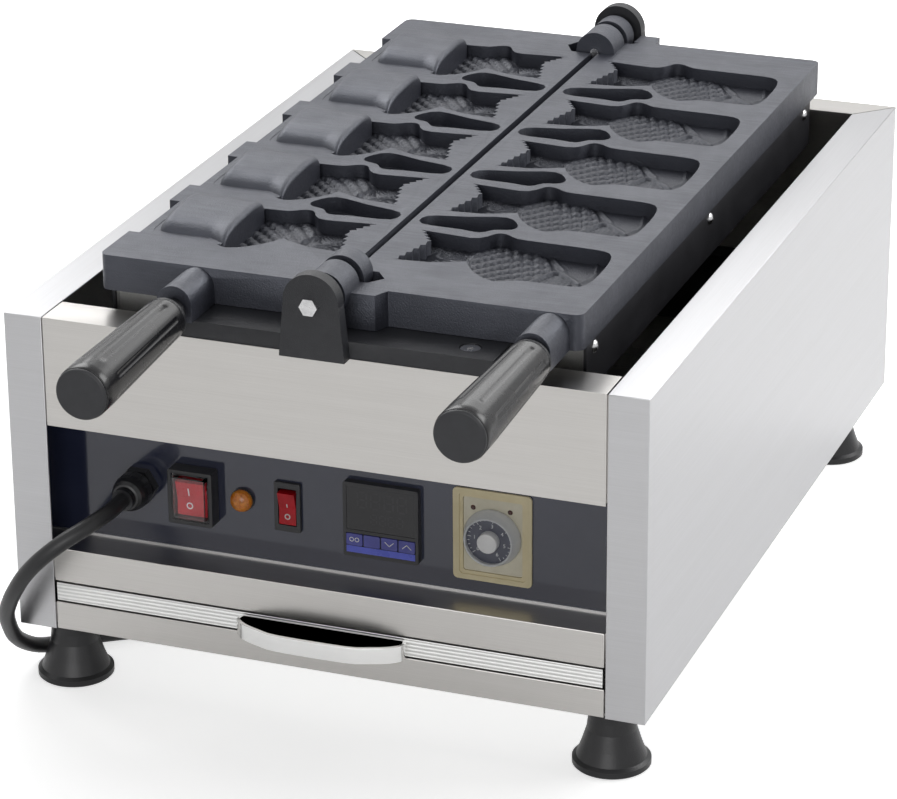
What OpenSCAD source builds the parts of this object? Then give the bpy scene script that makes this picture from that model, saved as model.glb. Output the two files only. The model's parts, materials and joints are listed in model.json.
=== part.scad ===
/* [Cabinet] */
// Width over the two side panels
cabinet_w = 410; // [400:1:430]
// Depth of the side panels
cabinet_d = 566; // [560:1:600]
// Height of the cabinet above its feet
cabinet_h = 208.5; // [205:0.5:225]
// Thickness of the stainless sheet
sheet_t = 1.5; // [1:0.1:2]
// Width of the folded flanges round each side panel
flange_w = 25; // [20:1:28]
// Gap between neighbouring panels
panel_gap = 0.8; // [0.4:0.1:0.9]
// Length of the strips that lap behind the front joints
lap_w = 15; // [10:1:20]
// Height of each foot
foot_h = 39; // [30:1:50]
// Diameter of a foot where it stands
foot_d = 48; // [40:1:54]
// Diameter of a foot at its neck
foot_neck_d = 29; // [20:1:34]
// Distance from the side of the cabinet to the middle of a foot
foot_side = 27; // [25:1:35]
// Distance from the front to the middle of the front feet
foot_front = 20.5; // [20:0.5:60]
// Distance from the back to the middle of the rear feet
foot_rear = 48; // [30:1:80]

/* [Front] */
// Height of the bottom rail
rail_h = 19; // [15:0.5:22]
// Height of the drawer front
drawer_h = 12; // [10:0.5:14]
// Gap above and below the drawer front
drawer_gap = 1.2; // [0.8:0.1:2]
// Height of the bar over the drawer
bar_h = 22.5; // [18:0.5:28]
// Height of the control fascia
fascia_h = 82; // [76:1:86]
// Distance that the control fascia is set back
fascia_in = 27; // [20:0.5:32]
// Depth of the shelf behind the bar
shelf_d = 150; // [130:5:200]
// Length of the drip tray
tray_l = 480; // [400:5:520]
// Distance between the roots of the drawer handle
handle_w = 108; // [90:1:120]
// Reach of the drawer handle in front of the drawer
handle_reach = 20; // [16:1:28]

/* [Moulds] */
// Width of one mould half
mould_w = 151.5; // [150:0.5:154]
// Thickness of a mould half
mould_t = 22.5; // [21:0.5:24]
// Slit between the two halves when they lie open
slit = 5; // [4:0.5:6]
// Height of the mating faces above the cabinet
mate_rise = 33.5; // [32:0.5:36]
// Gap between the mating faces when the halves are shut
shut_gap = 0.8; // [0.4:0.1:1.2]
// Distance from the front of the cabinet to the moulds
mould_front = 30; // [28:0.5:34]
// Distance from the back of the cabinet to the moulds
mould_back = 17.5; // [15:0.5:20]
// Number of fish in each half
fish_count = 5; // [3:1:5]
// Distance between neighbouring fish
fish_pitch = 91; // [89:0.5:92]
// Distance from the front edge of a mould to the first fish
first_fish = 76; // [70:0.5:78]
// Depth of a fish cavity
fish_depth = 11; // [10.5:0.5:12]
// Extra depth in the middle of the body
belly_dip = 1.5; // [1:0.5:2]
// Depth of the pockets between the tails
pocket_depth = 10; // [6:0.5:12]
// Height of the mouth cores above the mating face
core_rise = 10.5; // [9:0.5:11]
// Clearance between a mould and what it rests on
seat_gap = 0.3; // [0.2:0.1:0.5]

/* [Hinge] */
// Diameter of the hinge bolts
bolt_d = 6; // [5:0.5:8]
// Radial clearance of a bolt in its bore
bolt_clear = 0.06; // [0.03:0.01:0.1]
// Width across the flats of a bolt head
bolt_af = 10; // [9:0.5:13]
// Radius of the hinge barrels
barrel_r = 14; // [12:0.5:15]
// Clearance round a barrel in the other half
barrel_clear = 3; // [2:0.5:4]
// Length of the cast beams
beam_l = 220; // [190:2:240]
// Depth of the front beam
front_beam_d = 44.5; // [42:0.5:48]
// Depth of the rear beam
rear_beam_d = 35; // [30:0.5:40]
// Thickness of the hinge ears
ear_t = 9; // [7:0.5:10]
// Width of an ear at its foot
ear_w = 41.4; // [38:0.2:44]
// Radius of the rounded top of an ear
ear_r = 17.5; // [15:0.5:18.5]

/* [Grips] */
// Distance from the hinge line to the left grip
left_grip_x = 89.5; // [80:0.5:95]
// Distance from the hinge line to the right grip
right_grip_x = 135; // [130:0.5:138]
// Width of the boss that holds a grip
boss_w = 22.5; // [20:0.5:24]
// Reach of the boss in front of the mould
boss_reach = 34; // [30:1:38]
// Length of a grip with its cap
grip_l = 114.5; // [90:0.5:130]
// Diameter of a grip at its free end
grip_d = 32.5; // [28:0.5:33]
// Diameter of a grip at its inner end
grip_neck_d = 27; // [24:0.5:28]
// Diameter of the stud inside a grip
stud_d = 10; // [8:0.5:12]
// Gap between boss and grip on the left
left_stud_gap = 13.5; // [5:0.5:15]
// Gap between boss and grip on the right
right_stud_gap = 5; // [4:0.5:15]
// Downward lean of the left grip in degrees
left_droop = 1.9; // [0:0.1:2]
// Downward lean of the right grip in degrees
right_droop = 0.5; // [0:0.1:2]

/* [Heater] */
// Half width of the heater box
heater_half_w = 150.5; // [149:0.5:152]
// Depth of the heater box
heater_h = 28; // [26:0.5:32]
// Height of the insulation in the heater box
insulation_h = 8; // [5:0.5:10]
// Diameter of the heating elements
element_d = 8; // [6:0.5:9]
// Thickness of the black skirts beside the heater box
skirt_t = 2; // [1.5:0.1:3]
// Height of the black skirts
skirt_h = 32; // [29:0.5:36]

/* [Controls] */
// Height of the row of controls above the drawer bar
controls_rise = 38.9; // [37:0.1:40]
// Middle of the cable gland
gland_x = -131; // [-150:1:-128]
// Middle of the power switch
power_x = -93.2; // [-97:0.2:-91]
// Width of the power switch frame
power_w = 29.4; // [28.4:0.2:32]
// Height of the power switch frame
power_h = 35.8; // [35:0.2:39]
// Height of the power switch frame in front of the fascia
power_proud = 10.5; // [8:0.5:12]
// Middle of the pilot lamp
lamp_x = -62.3; // [-68:0.1:-56]
// Diameter of the pilot lamp
lamp_d = 14; // [12:0.5:15]
// Middle of the alarm switch
alarm_x = -32.1; // [-40:0.1:-20]
// Width of the alarm switch frame
alarm_w = 17; // [15:0.2:18]
// Height of the alarm switch frame
alarm_h = 32.2; // [31:0.2:35]
// Middle of the temperature controller
controller_x = 29.8; // [24:0.2:34]
// Side of the temperature controller
controller_w = 48.5; // [47:0.5:50]
// Height of the temperature controller in front of the fascia
controller_proud = 5; // [4:0.5:7]
// Middle of the timer
timer_x = 100; // [96:0.2:110]
// Width of the timer frame
timer_w = 50; // [48:0.5:54]
// Height of the timer frame
timer_h = 59.5; // [56:0.5:62]
// Height of the timer frame in front of the fascia
timer_proud = 1.5; // [1:0.1:3]
// Diameter of the timer knob
knob_d = 36; // [30:0.5:36]
// Tilt of a rocker between its two positions in degrees
rocker_turn = 14; // [10:1:16]

/* [Cord] */
// Diameter of the power cord
cord_d = 10; // [9:0.5:10.5]

/* [Hidden] */

half_w = cabinet_w / 2;
inner_w = half_w - sheet_t;
open_w = half_w - flange_w;
front_w = open_w - panel_gap;
eps = 1;

drawer_z = rail_h + drawer_gap;
bar_z = drawer_z + drawer_h + drawer_gap;
fascia_z = bar_z + bar_h;
upper_z = fascia_z + fascia_h;
fascia_t = sheet_t;
controls_z = fascia_z + controls_rise;
power_at = [power_x, controls_z];
power_size = [power_w, power_h];
lamp_at = [lamp_x, controls_z];
alarm_at = [alarm_x, controls_z];
alarm_size = [alarm_w, alarm_h];
controller_at = [controller_x, controls_z];
timer_at = [timer_x, controls_z];
timer_size = [timer_w, timer_h];

mate_z = cabinet_h + mate_rise;
mould_z = mate_z - mould_t;
beam_h = mould_z - seat_gap - cabinet_h;
hinge_z = mate_z + shut_gap / 2;
mould_in = slit / 2;
mould_out = mould_in + mould_w;
mould_end = cabinet_d - mould_back;
mould_d = mould_end - mould_front;
mould_corner_r = 6;
bore_r = bolt_d / 2 + bolt_clear;

// Knuckles along the hinge line, measured from the mould ends
front_right_knuckle = [mould_front - 19, mould_front + 4];
front_left_knuckle = [mould_front + 11, mould_front + 26];
rear_right_knuckle = [mould_end - 33.5, mould_end - 10.5];
rear_left_knuckle = [mould_end - 3.5, mould_end + 11.5];
knuckle_gap = 2;

front_beam_y = 0.5;
front_beam_end = front_beam_y + front_beam_d;
rear_beam_y = cabinet_d - rear_beam_d;
ear_front = front_beam_y - ear_t;
rear_ear_y = cabinet_d;
bolt_head_h = 4;
bolt_tail = 2;

grip_z = 6.5;
boss_front = mould_front - boss_reach;
front_reach = boss_front - (left_stud_gap + grip_l) * cos(left_droop) - grip_d / 2 * sin(left_droop);
rear_reach = rear_ear_y + ear_t + bolt_head_h;
mid_y = (front_reach + rear_reach) / 2;

heater_z = cabinet_h + 6.5 - heater_h;
skirt_top = mould_z - seat_gap;
skirt_ends = [front_beam_end - 2, rear_beam_y - 1];
skirt_screw_z = mould_z - 6.5;
skirt_screw_y = [front_beam_end + 12, (front_beam_end + rear_beam_y) / 2 + 2, rear_beam_y - 17];
screw_d = 4;
screw_head_d = 8;
screw_head_h = 2.4;
beam_screw_x = beam_l / 2 - 20;
front_screw_y = 16.5;
rear_screw_y = cabinet_d - flange_w / 2;
beam_screw_d = 6;

tray_half_w = front_w - 3;
tray_wall = 1;
runner_gap = 0.3;
runner_z = drawer_z + 0.1 - runner_gap - sheet_t;
runner_leaf = inner_w - tray_half_w + 6;
rail_lip = 12;
runner_y = rail_lip + runner_gap;

stainless = [0.78, 0.77, 0.75];
cast_black = [0.2, 0.2, 0.22];
gloss_black = [0.1, 0.1, 0.12];
bright = [0.85, 0.85, 0.86];
navy = [0.17, 0.18, 0.22];

// Everything is drawn from the cabinet's front bottom edge and moved here to stand on its feet
module stand() {
    translate([0, -mid_y, foot_h]) children();
}

// Cylinder along +Y
module rod(r, y0, y1, x = 0, z = 0, sides = 64) {
    translate([x, y0, z]) rotate([-90, 0, 0]) cylinder(h = y1 - y0, r = r, $fn = sides);
}

// Box from its low corner to its high corner
module block(low, high) {
    translate(low) cube(high - low);
}

// Outline drawn across and up, given a thickness from y0 back to y1
module upright(y0, y1) {
    translate([0, y1, 0]) rotate([90, 0, 0]) linear_extrude(y1 - y0) children();
}

// Rectangle with true round corners, from its low corner
module round_rect(w, d, r) {
    translate([r, 0]) square([w - 2 * r, d]);
    translate([0, r]) square([w, d - 2 * r]);
    for (x = [r, w - r], y = [r, d - r]) translate([x, y]) circle(r = r, $fn = 48);
}

// Plate on the fascia with round corners, centred on a place across and up
module face_plate(at, size, r, y0, y1) {
    upright(y0, y1) translate([at[0] - size[0] / 2, at[1] - size[1] / 2]) round_rect(size[0], size[1], r);
}

// Box centred on a place across and up
module face_box(at, size, y0, y1) {
    block([at[0] - size[0] / 2, y0, at[1] - size[1] / 2], [at[0] + size[0] / 2, y1, at[1] + size[1] / 2]);
}

// Cabinet sheet metal

module side_panel() {
    mitre = open_w - eps;
    color(stainless) difference() {
        block([open_w, 0, 0], [half_w, cabinet_d, cabinet_h]);
        block([open_w - eps, sheet_t, sheet_t], [inner_w, cabinet_d + eps, cabinet_h - sheet_t]);
        translate([0, 0, cabinet_h - sheet_t]) linear_extrude(sheet_t + eps) polygon([
            [mitre, cabinet_d - half_w + mitre - panel_gap],
            [half_w + eps, cabinet_d + eps - panel_gap],
            [mitre, cabinet_d + eps]
        ]);
        for (y = [foot_front, cabinet_d - foot_rear]) foot_hole(y);
    }
}

module foot_hole(y) {
    translate([half_w - foot_side, y, -eps]) cylinder(h = 6, r = foot_stud_r + 0.3, $fn = 48);
}

module left_side_panel() {
    mirror([1, 0, 0]) side_panel();
}

module right_side_panel() {
    side_panel();
}

module back_panel() {
    vent_w = 4;
    vent_h = 30;
    vent_pitch = 12;
    vent_z = 62;
    color(stainless) difference() {
        union() {
            block([-inner_w, cabinet_d - sheet_t, sheet_t], [inner_w, cabinet_d, cabinet_h - sheet_t]);
            translate([0, 0, cabinet_h - sheet_t]) linear_extrude(sheet_t) polygon([
                [-half_w, cabinet_d], [half_w, cabinet_d],
                [open_w, cabinet_d - flange_w], [-open_w, cabinet_d - flange_w]
            ]);
        }
        for (side = [-1, 1], i = [-5:5]) translate([side * inner_w / 2 + i * vent_pitch, 0, vent_z])
            upright(cabinet_d - sheet_t - eps, cabinet_d + eps) slot(vent_w, vent_h);
        beam_screw_holes(rear_screw_y);
    }
}

// Holes in a top flange for the screws of the beam on it
module beam_screw_holes(y) {
    for (side = [-1, 1]) translate([side * beam_screw_x, y, cabinet_h - sheet_t - eps])
        cylinder(h = sheet_t + 2 * eps, r = beam_screw_d / 2 + 0.1, $fn = 48);
}

// Upright slot with round ends, centred on the origin
module slot(w, h) {
    translate([-w / 2, -(h - w) / 2]) square([w, h - w]);
    for (end = [-1, 1]) translate([0, end * (h - w) / 2]) circle(r = w / 2, $fn = 32);
}

module base_pan() {
    color(stainless) difference() {
        block([-inner_w, sheet_t, sheet_t], [inner_w, cabinet_d - sheet_t, 2 * sheet_t]);
        for (side = [0, 1], y = [foot_front, cabinet_d - foot_rear]) mirror([side, 0, 0]) foot_hole(y);
    }
}

// Strips that lap behind the side panels' front flanges
module laps(z0, z1) {
    for (side = [0, 1]) mirror([side, 0, 0])
        block([open_w - lap_w, sheet_t, z0], [open_w + lap_w, 2 * sheet_t, z1]);
}

module bottom_rail() {
    color(stainless) {
        block([-front_w, 0, 0.5], [front_w, sheet_t, rail_h]);
        block([-front_w, 0, rail_h - sheet_t], [front_w, rail_lip, rail_h]);
        laps(2 * sheet_t + 0.5, rail_h - sheet_t);
    }
}

module drawer_bar() {
    color(stainless) {
        block([-front_w, 0, bar_z], [front_w, sheet_t, fascia_z]);
        block([-front_w, 0, bar_z], [front_w, rail_lip, bar_z + sheet_t]);
        block([-front_w, 0, fascia_z - sheet_t], [front_w, 2 * sheet_t, fascia_z]);
        block([-inner_w, sheet_t, fascia_z - sheet_t], [inner_w, shelf_d, fascia_z]);
        laps(bar_z + sheet_t, fascia_z - sheet_t);
    }
}

module upper_front_panel() {
    color(stainless) difference() {
        union() {
            block([-front_w, 0, upper_z], [front_w, sheet_t, cabinet_h]);
            block([-front_w, 0, upper_z], [front_w, fascia_in, upper_z + sheet_t]);
            block([-front_w, 0, cabinet_h - sheet_t], [front_w, fascia_in + eps, cabinet_h]);
            laps(upper_z + sheet_t, cabinet_h - sheet_t);
        }
        beam_screw_holes(front_screw_y);
    }
}

module control_fascia() {
    y0 = fascia_in;
    y1 = fascia_in + fascia_t;
    color(navy) difference() {
        block([-inner_w, y0, fascia_z], [inner_w, y1, upper_z + 12]);
        rod(gland_thread_r + 0.2, y0 - eps, y1 + eps, gland_x, controls_z);
        rod(lamp_d / 2 - 1.3, y0 - eps, y1 + eps, lamp_at[0], lamp_at[1]);
        face_box(power_at, power_size - [4.6, 4.6], y0 - eps, y1 + eps);
        face_box(alarm_at, alarm_size - [2.6, 4.6], y0 - eps, y1 + eps);
        face_box(controller_at, [controller_body_w + 0.6, controller_body_w + 0.6], y0 - eps, y1 + eps);
        face_box(timer_at, timer_body + [0.6, 0.6], y0 - eps, y1 + eps);
    }
}

module runner() {
    color(stainless) {
        block([inner_w - runner_leaf, runner_y, runner_z], [inner_w, tray_l + 20, runner_z + sheet_t]);
        block([inner_w - sheet_t, runner_y, runner_z], [inner_w, tray_l + 20, runner_z + 24]);
    }
}

module drawer_runners() {
    for (side = [0, 1]) mirror([side, 0, 0]) runner();
}

// Feet

foot_stud_r = 4;
foot_base_h = 6;

module foot(side, y) {
    neck_r = foot_neck_d / 2;
    base_r = foot_d / 2;
    color(gloss_black) translate([side * (half_w - foot_side), y, -foot_h]) {
        rotate_extrude($fn = 64) polygon([
            [0, 0], [base_r - 1, 0], [base_r, 1], [base_r, foot_base_h - 1.5],
            [base_r - 2.5, foot_base_h], [neck_r + 4, foot_h * 0.36], [neck_r + 0.8, foot_h * 0.62],
            [neck_r, foot_h * 0.8], [neck_r, foot_h - 1], [neck_r - 1, foot_h], [0, foot_h]
        ]);
        cylinder(h = foot_h + 7, r = foot_stud_r, $fn = 48);
    }
}

module front_left_foot() {
    foot(-1, foot_front);
}

module front_right_foot() {
    foot(1, foot_front);
}

module rear_left_foot() {
    foot(-1, cabinet_d - foot_rear);
}

module rear_right_foot() {
    foot(1, cabinet_d - foot_rear);
}

// Cast beams that carry the hinge

module beam_bar(y0, y1, screw_y) {
    difference() {
        block([-beam_l / 2, y0, cabinet_h], [beam_l / 2, y1, cabinet_h + beam_h]);
        for (side = [-1, 1]) translate([side * beam_screw_x, screw_y, cabinet_h - eps]) {
            cylinder(h = beam_h + 2 * eps, r = beam_screw_d / 2 + 0.1, $fn = 48);
            translate([0, 0, beam_h - 3 + eps]) cylinder(h = 3 + eps, r = beam_screw_d + 0.6, $fn = 48);
        }
    }
}

module ear(y0) {
    half = ear_w / 2;
    difference() {
        upright(y0, y0 + ear_t) {
            translate([0, hinge_z + 1.6]) circle(r = ear_r, $fn = 96);
            polygon([
                [-half, cabinet_h], [half, cabinet_h],
                [half - 1.2, cabinet_h + 14], [ear_r, hinge_z], [-ear_r, hinge_z],
                [1.2 - half, cabinet_h + 14]
            ]);
        }
        rod(bore_r, y0 - eps, y0 + ear_t + eps, 0, hinge_z);
    }
}

module front_beam() {
    color(cast_black) {
        beam_bar(front_beam_y, front_beam_end, front_screw_y);
        ear(ear_front);
    }
}

module rear_beam() {
    color(cast_black) {
        beam_bar(rear_beam_y, rear_ear_y, rear_screw_y);
        ear(rear_ear_y);
    }
}

// Hexagon bolt along +Y from its head to its tail
module hinge_bolt(tail_y) {
    rod(bolt_af / sqrt(3), -bolt_head_h, 0, 0, 0, 6);
    rod(bolt_d / 2, 0, tail_y);
}

module front_hinge_bolt() {
    color(bright) translate([0, ear_front, hinge_z])
        hinge_bolt(front_left_knuckle[1] + bolt_tail - ear_front);
}

module rear_hinge_bolt() {
    color(bright) translate([0, rear_ear_y + ear_t, hinge_z]) rotate([0, 0, 180])
        hinge_bolt(rear_ear_y + ear_t + bolt_tail - rear_right_knuckle[0]);
}

module screws() {
    beam_screws();
    skirt_screws();
}

module beam_screws() {
    color(bright) for (side = [-1, 1], y = [front_screw_y, rear_screw_y])
        translate([side * beam_screw_x, y, cabinet_h + beam_h - 3]) {
            translate([0, 0, -beam_h + 1]) cylinder(h = beam_h, r = beam_screw_d / 2, $fn = 48);
            difference() {
                translate([0, 0, 0.1]) cylinder(h = 2.3, r1 = beam_screw_d / 2, r2 = beam_screw_d, $fn = 48);
                translate([0, 0, 1]) cylinder(h = 3, r = 2, $fn = 6);
            }
        }
}

// Heater under the moulds

element_x = [34, 114];
element_z = heater_z + sheet_t + insulation_h + element_d / 2 + seat_gap;
element_ends = [front_beam_end + 40, rear_beam_y - 24];
element_drop = 26;
element_hole_r = element_d / 2 + 0.8;
element_elbow = 2 * element_d;
probe_r = 3;
probe_at = [8, (front_beam_end + rear_beam_y) / 2];

module heater_holes(z0, z1) {
    for (side = [-1, 1], x = element_x)
        translate([side * x, element_ends[0], z0]) cylinder(h = z1 - z0, r = element_hole_r, $fn = 48);
    translate([probe_at[0], probe_at[1], z0]) cylinder(h = z1 - z0, r = probe_r + 0.3, $fn = 48);
}

// Channel folded from one sheet, with an end plate set between its walls at each end
module heater_box() {
    w = heater_half_w;
    wall_in = w - sheet_t;
    top = heater_z + heater_h;
    floor_top = heater_z + sheet_t;
    color(stainless) difference() {
        union() {
            difference() {
                block([-w, front_beam_end, heater_z], [w, rear_beam_y, top]);
                block([-wall_in, front_beam_end - eps, floor_top], [wall_in, rear_beam_y + eps, top + eps]);
            }
            for (y = [front_beam_end, rear_beam_y - sheet_t])
                block([seat_gap - wall_in, y, floor_top + seat_gap], [wall_in - seat_gap, y + sheet_t, top]);
        }
        heater_holes(heater_z - eps, floor_top + eps);
        skirt_holes(wall_in - eps, w + eps);
    }
}

module skirt_holes(x0, x1) {
    for (side = [0, 1], y = skirt_screw_y) mirror([side, 0, 0])
        translate([x0, y, skirt_screw_z]) rotate([0, 90, 0])
            cylinder(h = x1 - x0, r = screw_d / 2 + 0.1, $fn = 32);
}

module insulation_board() {
    w = heater_half_w - sheet_t;
    z0 = heater_z + sheet_t;
    color([0.9, 0.88, 0.82]) difference() {
        block([-w, front_beam_end + sheet_t, z0], [w, rear_beam_y - sheet_t, z0 + insulation_h]);
        heater_holes(z0 - eps, z0 + insulation_h + eps);
        for (side = [-1, 1], x = element_x)
            block([side * x - element_hole_r, element_ends[0], z0 - eps],
                  [side * x + element_hole_r, element_ends[0] + element_elbow, z0 + insulation_h + eps]);
    }
}

// Hairpin tube: two legs, a bend at the back and ends turned down through the floor
module element(side) {
    r = element_d / 2;
    bend = (element_x[1] - element_x[0]) / 2;
    elbow = element_elbow;
    color([0.35, 0.33, 0.32]) mirror([side, 0, 0]) {
        for (x = element_x) {
            rod(r, element_ends[0] + elbow, element_ends[1] - bend, x, element_z, 32);
            translate([x, element_ends[0] + elbow, element_z - elbow]) rotate([180, -90, 0])
                rotate_extrude(angle = 90, $fn = 64) translate([elbow, 0]) circle(r = r, $fn = 32);
            translate([x, element_ends[0], element_z - elbow - element_drop])
                cylinder(h = element_drop, r = r, $fn = 32);
        }
        translate([(element_x[0] + element_x[1]) / 2, element_ends[1] - bend, element_z])
            rotate_extrude(angle = 180, $fn = 96) translate([bend, 0]) circle(r = r, $fn = 32);
    }
}

module left_element() {
    element(1);
}

module right_element() {
    element(0);
}

module thermocouple() {
    top = mould_z - seat_gap;
    color(bright) translate([probe_at[0], probe_at[1], 0]) {
        translate([0, 0, heater_z - 20]) cylinder(h = top - heater_z + 20, r = probe_r, $fn = 32);
        translate([0, 0, heater_z - 6]) cylinder(h = 6, r = probe_r + 3, $fn = 6);
    }
}

module skirt(side) {
    w = heater_half_w;
    color(cast_black) mirror([side, 0, 0]) difference() {
        block([w, skirt_ends[0], skirt_top - skirt_h], [w + skirt_t, skirt_ends[1], skirt_top]);
        skirt_holes(w - eps, w + skirt_t + eps);
    }
}

module left_skirt() {
    skirt(1);
}

module right_skirt() {
    skirt(0);
}

module skirt_screws() {
    x0 = heater_half_w + skirt_t;
    color(bright) for (side = [0, 1], y = skirt_screw_y) mirror([side, 0, 0])
        translate([x0, y, skirt_screw_z]) rotate([0, 90, 0]) {
            translate([0, 0, -skirt_t - sheet_t - 2])
                cylinder(h = skirt_t + sheet_t + 2, r = screw_d / 2, $fn = 32);
            difference() {
                intersection() {
                    cylinder(h = screw_head_h, r = screw_head_d / 2, $fn = 48);
                    translate([0, 0, screw_head_h - 5]) sphere(r = 5, $fn = 48);
                }
                for (a = [0, 90]) rotate([0, 0, a]) translate([-2, -0.4, 1.2]) cube([4, 0.8, 2]);
            }
        }
}

// Mould halves, drawn for the right side with the hinge line at x = 0

// Points along a smooth curve through p1 and p2
function blend(p0, p1, p2, p3, t) = 0.5 * (2 * p1 + (p2 - p0) * t
    + (2 * p0 - 5 * p1 + 4 * p2 - p3) * t * t + (3 * p1 - p0 - 3 * p2 + p3) * t * t * t);

function smooth_open(p, n) = [
    for (i = [0:len(p) - 2], k = [0:n - 1])
        blend(p[max(i - 1, 0)], p[i], p[i + 1], p[min(i + 2, len(p) - 1)], k / n),
    p[len(p) - 1]
];

function smooth_closed(p, n) = [
    for (i = [0:len(p) - 1], k = [0:n - 1])
        blend(p[(i + len(p) - 1) % len(p)], p[i], p[(i + 1) % len(p)], p[(i + 2) % len(p)], k / n)
];

// Saw teeth from a to b, standing out to the left of that line
function saw(a, b, n, h) = [
    for (i = [0:n - 1], k = [0, 1])
        a + (b - a) * (i + k * 0.75) / n
            + k * h * [a[1] - b[1], b[0] - a[0]] / norm(b - a)
];

// Fish outline: across from the hinge line, and along it from the middle of the fish
fish_body = [
    [60, -13.6], [62.5, -19], [67.7, -26.5], [75, -34], [84, -39.2], [89.5, -39], [100.3, -33.6],
    [118, -33.2], [134, -32.8], [139.6, -28], [141.4, -20], [141.6, 0], [140.3, 17.5], [136.3, 28],
    [127, 31.2], [108, 32], [90, 32.4], [75.7, 33.4], [69, 37.6], [64, 39.3], [60, 37.5], [56.5, 31],
    [52.7, 27]
];
tail_top = [14.6, 28.8];
tail_notch = [25.2, 10.7];
tail_foot = [16.3, -24.6];

fish_outline = concat(
    smooth_open(fish_body, 2),
    [[47, 25.6], [30, 27.3]],
    saw(tail_top, tail_notch, 4, 1.2),
    saw(tail_notch, tail_foot, 5, 1.2),
    [tail_foot, [39.5, -22.2], [50, -18.3]]
);

pocket_outline = smooth_closed([
    [10.3, 39.9], [9.3, 54], [33, 60.5], [56.8, 67.2], [67.7, 56], [66.6, 47.6], [56.7, 43.8],
    [49.9, 36.5], [36, 38]
], 3);

// Mouth core outline in the same place as the fish's head
core_outline = [[90, 28], [138, 28], [138, -27], [102, -27], [90, -35]];
core_round = 7;
core_notch_x = 7;
core_notch_y = [-33, 27];

belly_at = [84, -1];
belly_r = 30;

function fish_y(i) = mould_front + first_fish + i * fish_pitch;

module fish_cavities() {
    dish_r = (belly_r * belly_r + belly_dip * belly_dip) / (2 * belly_dip);
    for (i = [0:fish_count - 1]) translate([0, fish_y(i), mate_z - fish_depth]) {
        linear_extrude(fish_depth + eps) polygon(fish_outline);
        intersection() {
            translate([belly_at[0], belly_at[1], dish_r - belly_dip]) sphere(r = dish_r, $fn = 96);
            translate([belly_at[0], belly_at[1], -belly_dip - eps])
                cylinder(h = belly_dip + 2 * eps, r = belly_r, $fn = 64);
        }
    }
    for (i = [0:fish_count - 2]) translate([0, fish_y(i), mate_z - pocket_depth])
        linear_extrude(pocket_depth + eps) polygon(pocket_outline);
}

// Slab of one half with its two outer corners rounded
module slab() {
    translate([mould_in, mould_front, mould_z]) linear_extrude(mould_t) {
        square([mould_w / 2, mould_d]);
        round_rect(mould_w, mould_d, mould_corner_r);
    }
}

// Room for the other half's knuckle, round below and opening into a shallow V
module knuckle_room(knuckle) {
    y0 = knuckle[0] - knuckle_gap;
    y1 = knuckle[1] + knuckle_gap;
    r = barrel_r + barrel_clear;
    rod(r, y0, y1, 0, hinge_z);
    translate([0, 0, mate_z - 12]) linear_extrude(12 + eps)
        polygon([[0, y0], [r, y0], [r + 7, (y0 + y1) / 2], [r, y1], [0, y1]]);
}

module barrel(knuckle) {
    rod(barrel_r, knuckle[0], knuckle[1], 0, hinge_z, 96);
}

// Room for the two bolts, through the knuckles of both halves and past the bolts' ends
module bolt_bores() {
    rod(bore_r, front_right_knuckle[0] - eps, front_left_knuckle[1] + bolt_tail + eps, 0, hinge_z);
    rod(bore_r, rear_right_knuckle[0] - bolt_tail - eps, rear_left_knuckle[1] + eps, 0, hinge_z);
}

// Boss for the grip's stud, arched on top
module grip_boss(x) {
    r = boss_w / 2;
    boss_arch_z = mould_t - r - 0.5;
    upright(boss_front, mould_front + eps) translate([x, mould_z]) {
        translate([-r, 0]) square([boss_w, boss_arch_z]);
        intersection() {
            translate([0, boss_arch_z]) circle(r = r, $fn = 64);
            translate([-r, 0]) square([boss_w, mould_t]);
        }
    }
}

// Frame of a grip: its axis starts at the front of the boss and leans down
module grip_frame(x, droop) {
    translate([x, boss_front, mould_z + grip_z]) rotate([droop, 0, 0]) children();
}

stud_seat = 24;

module right_mould() {
    lug_z = mould_z;
    color(cast_black) difference() {
        union() {
            difference() {
                slab();
                knuckle_room(front_left_knuckle);
                knuckle_room([rear_left_knuckle[0], mould_end + 5]);
            }
            barrel(front_right_knuckle);
            barrel(rear_right_knuckle);
            // Front lug, with a slanted end, and rear lug beside the other half's knuckle
            translate([0, 0, lug_z]) linear_extrude(mould_t) {
                polygon([
                    [0, mould_front - 10], [29, mould_front - 10], [34, mould_front + eps],
                    [0, mould_front + eps]
                ]);
                polygon([
                    [18, mould_end - eps], [34, mould_end - eps], [32, mould_end + 15.5],
                    [18, mould_end + 15.5]
                ]);
            }
            grip_boss(right_grip_x);
        }
        fish_cavities();
        bolt_bores();
        grip_frame(right_grip_x, right_droop) rod(stud_d / 2 + 0.05, -eps, stud_seat);
    }
}

module left_mould() {
    color(cast_black) mirror([1, 0, 0]) difference() {
        union() {
            difference() {
                slab();
                knuckle_room([front_right_knuckle[0], front_right_knuckle[1]]);
                knuckle_room(rear_right_knuckle);
                for (i = [0:fish_count - 1]) translate([0, fish_y(i), 0])
                    block([mould_out - core_notch_x, core_notch_y[0], mould_z - eps],
                          [mould_out + eps, core_notch_y[1], mate_z + eps]);
            }
            barrel(front_left_knuckle);
            barrel(rear_left_knuckle);
            block([mould_in, mould_end - eps, mould_z], [18, rear_left_knuckle[1], mate_z]);
            grip_boss(left_grip_x);
        }
        fish_cavities();
        bolt_bores();
        grip_frame(left_grip_x, left_droop) rod(stud_d / 2 + 0.05, -eps, stud_seat);
    }
}

// One slice of a mouth core, drawn in by an inset at a height over the cavity floor
module core_slice(z, inset) {
    translate([0, 0, z]) linear_extrude(0.2) offset(r = core_round - inset, $fn = 32)
        offset(delta = -core_round) polygon(core_outline);
}

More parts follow.
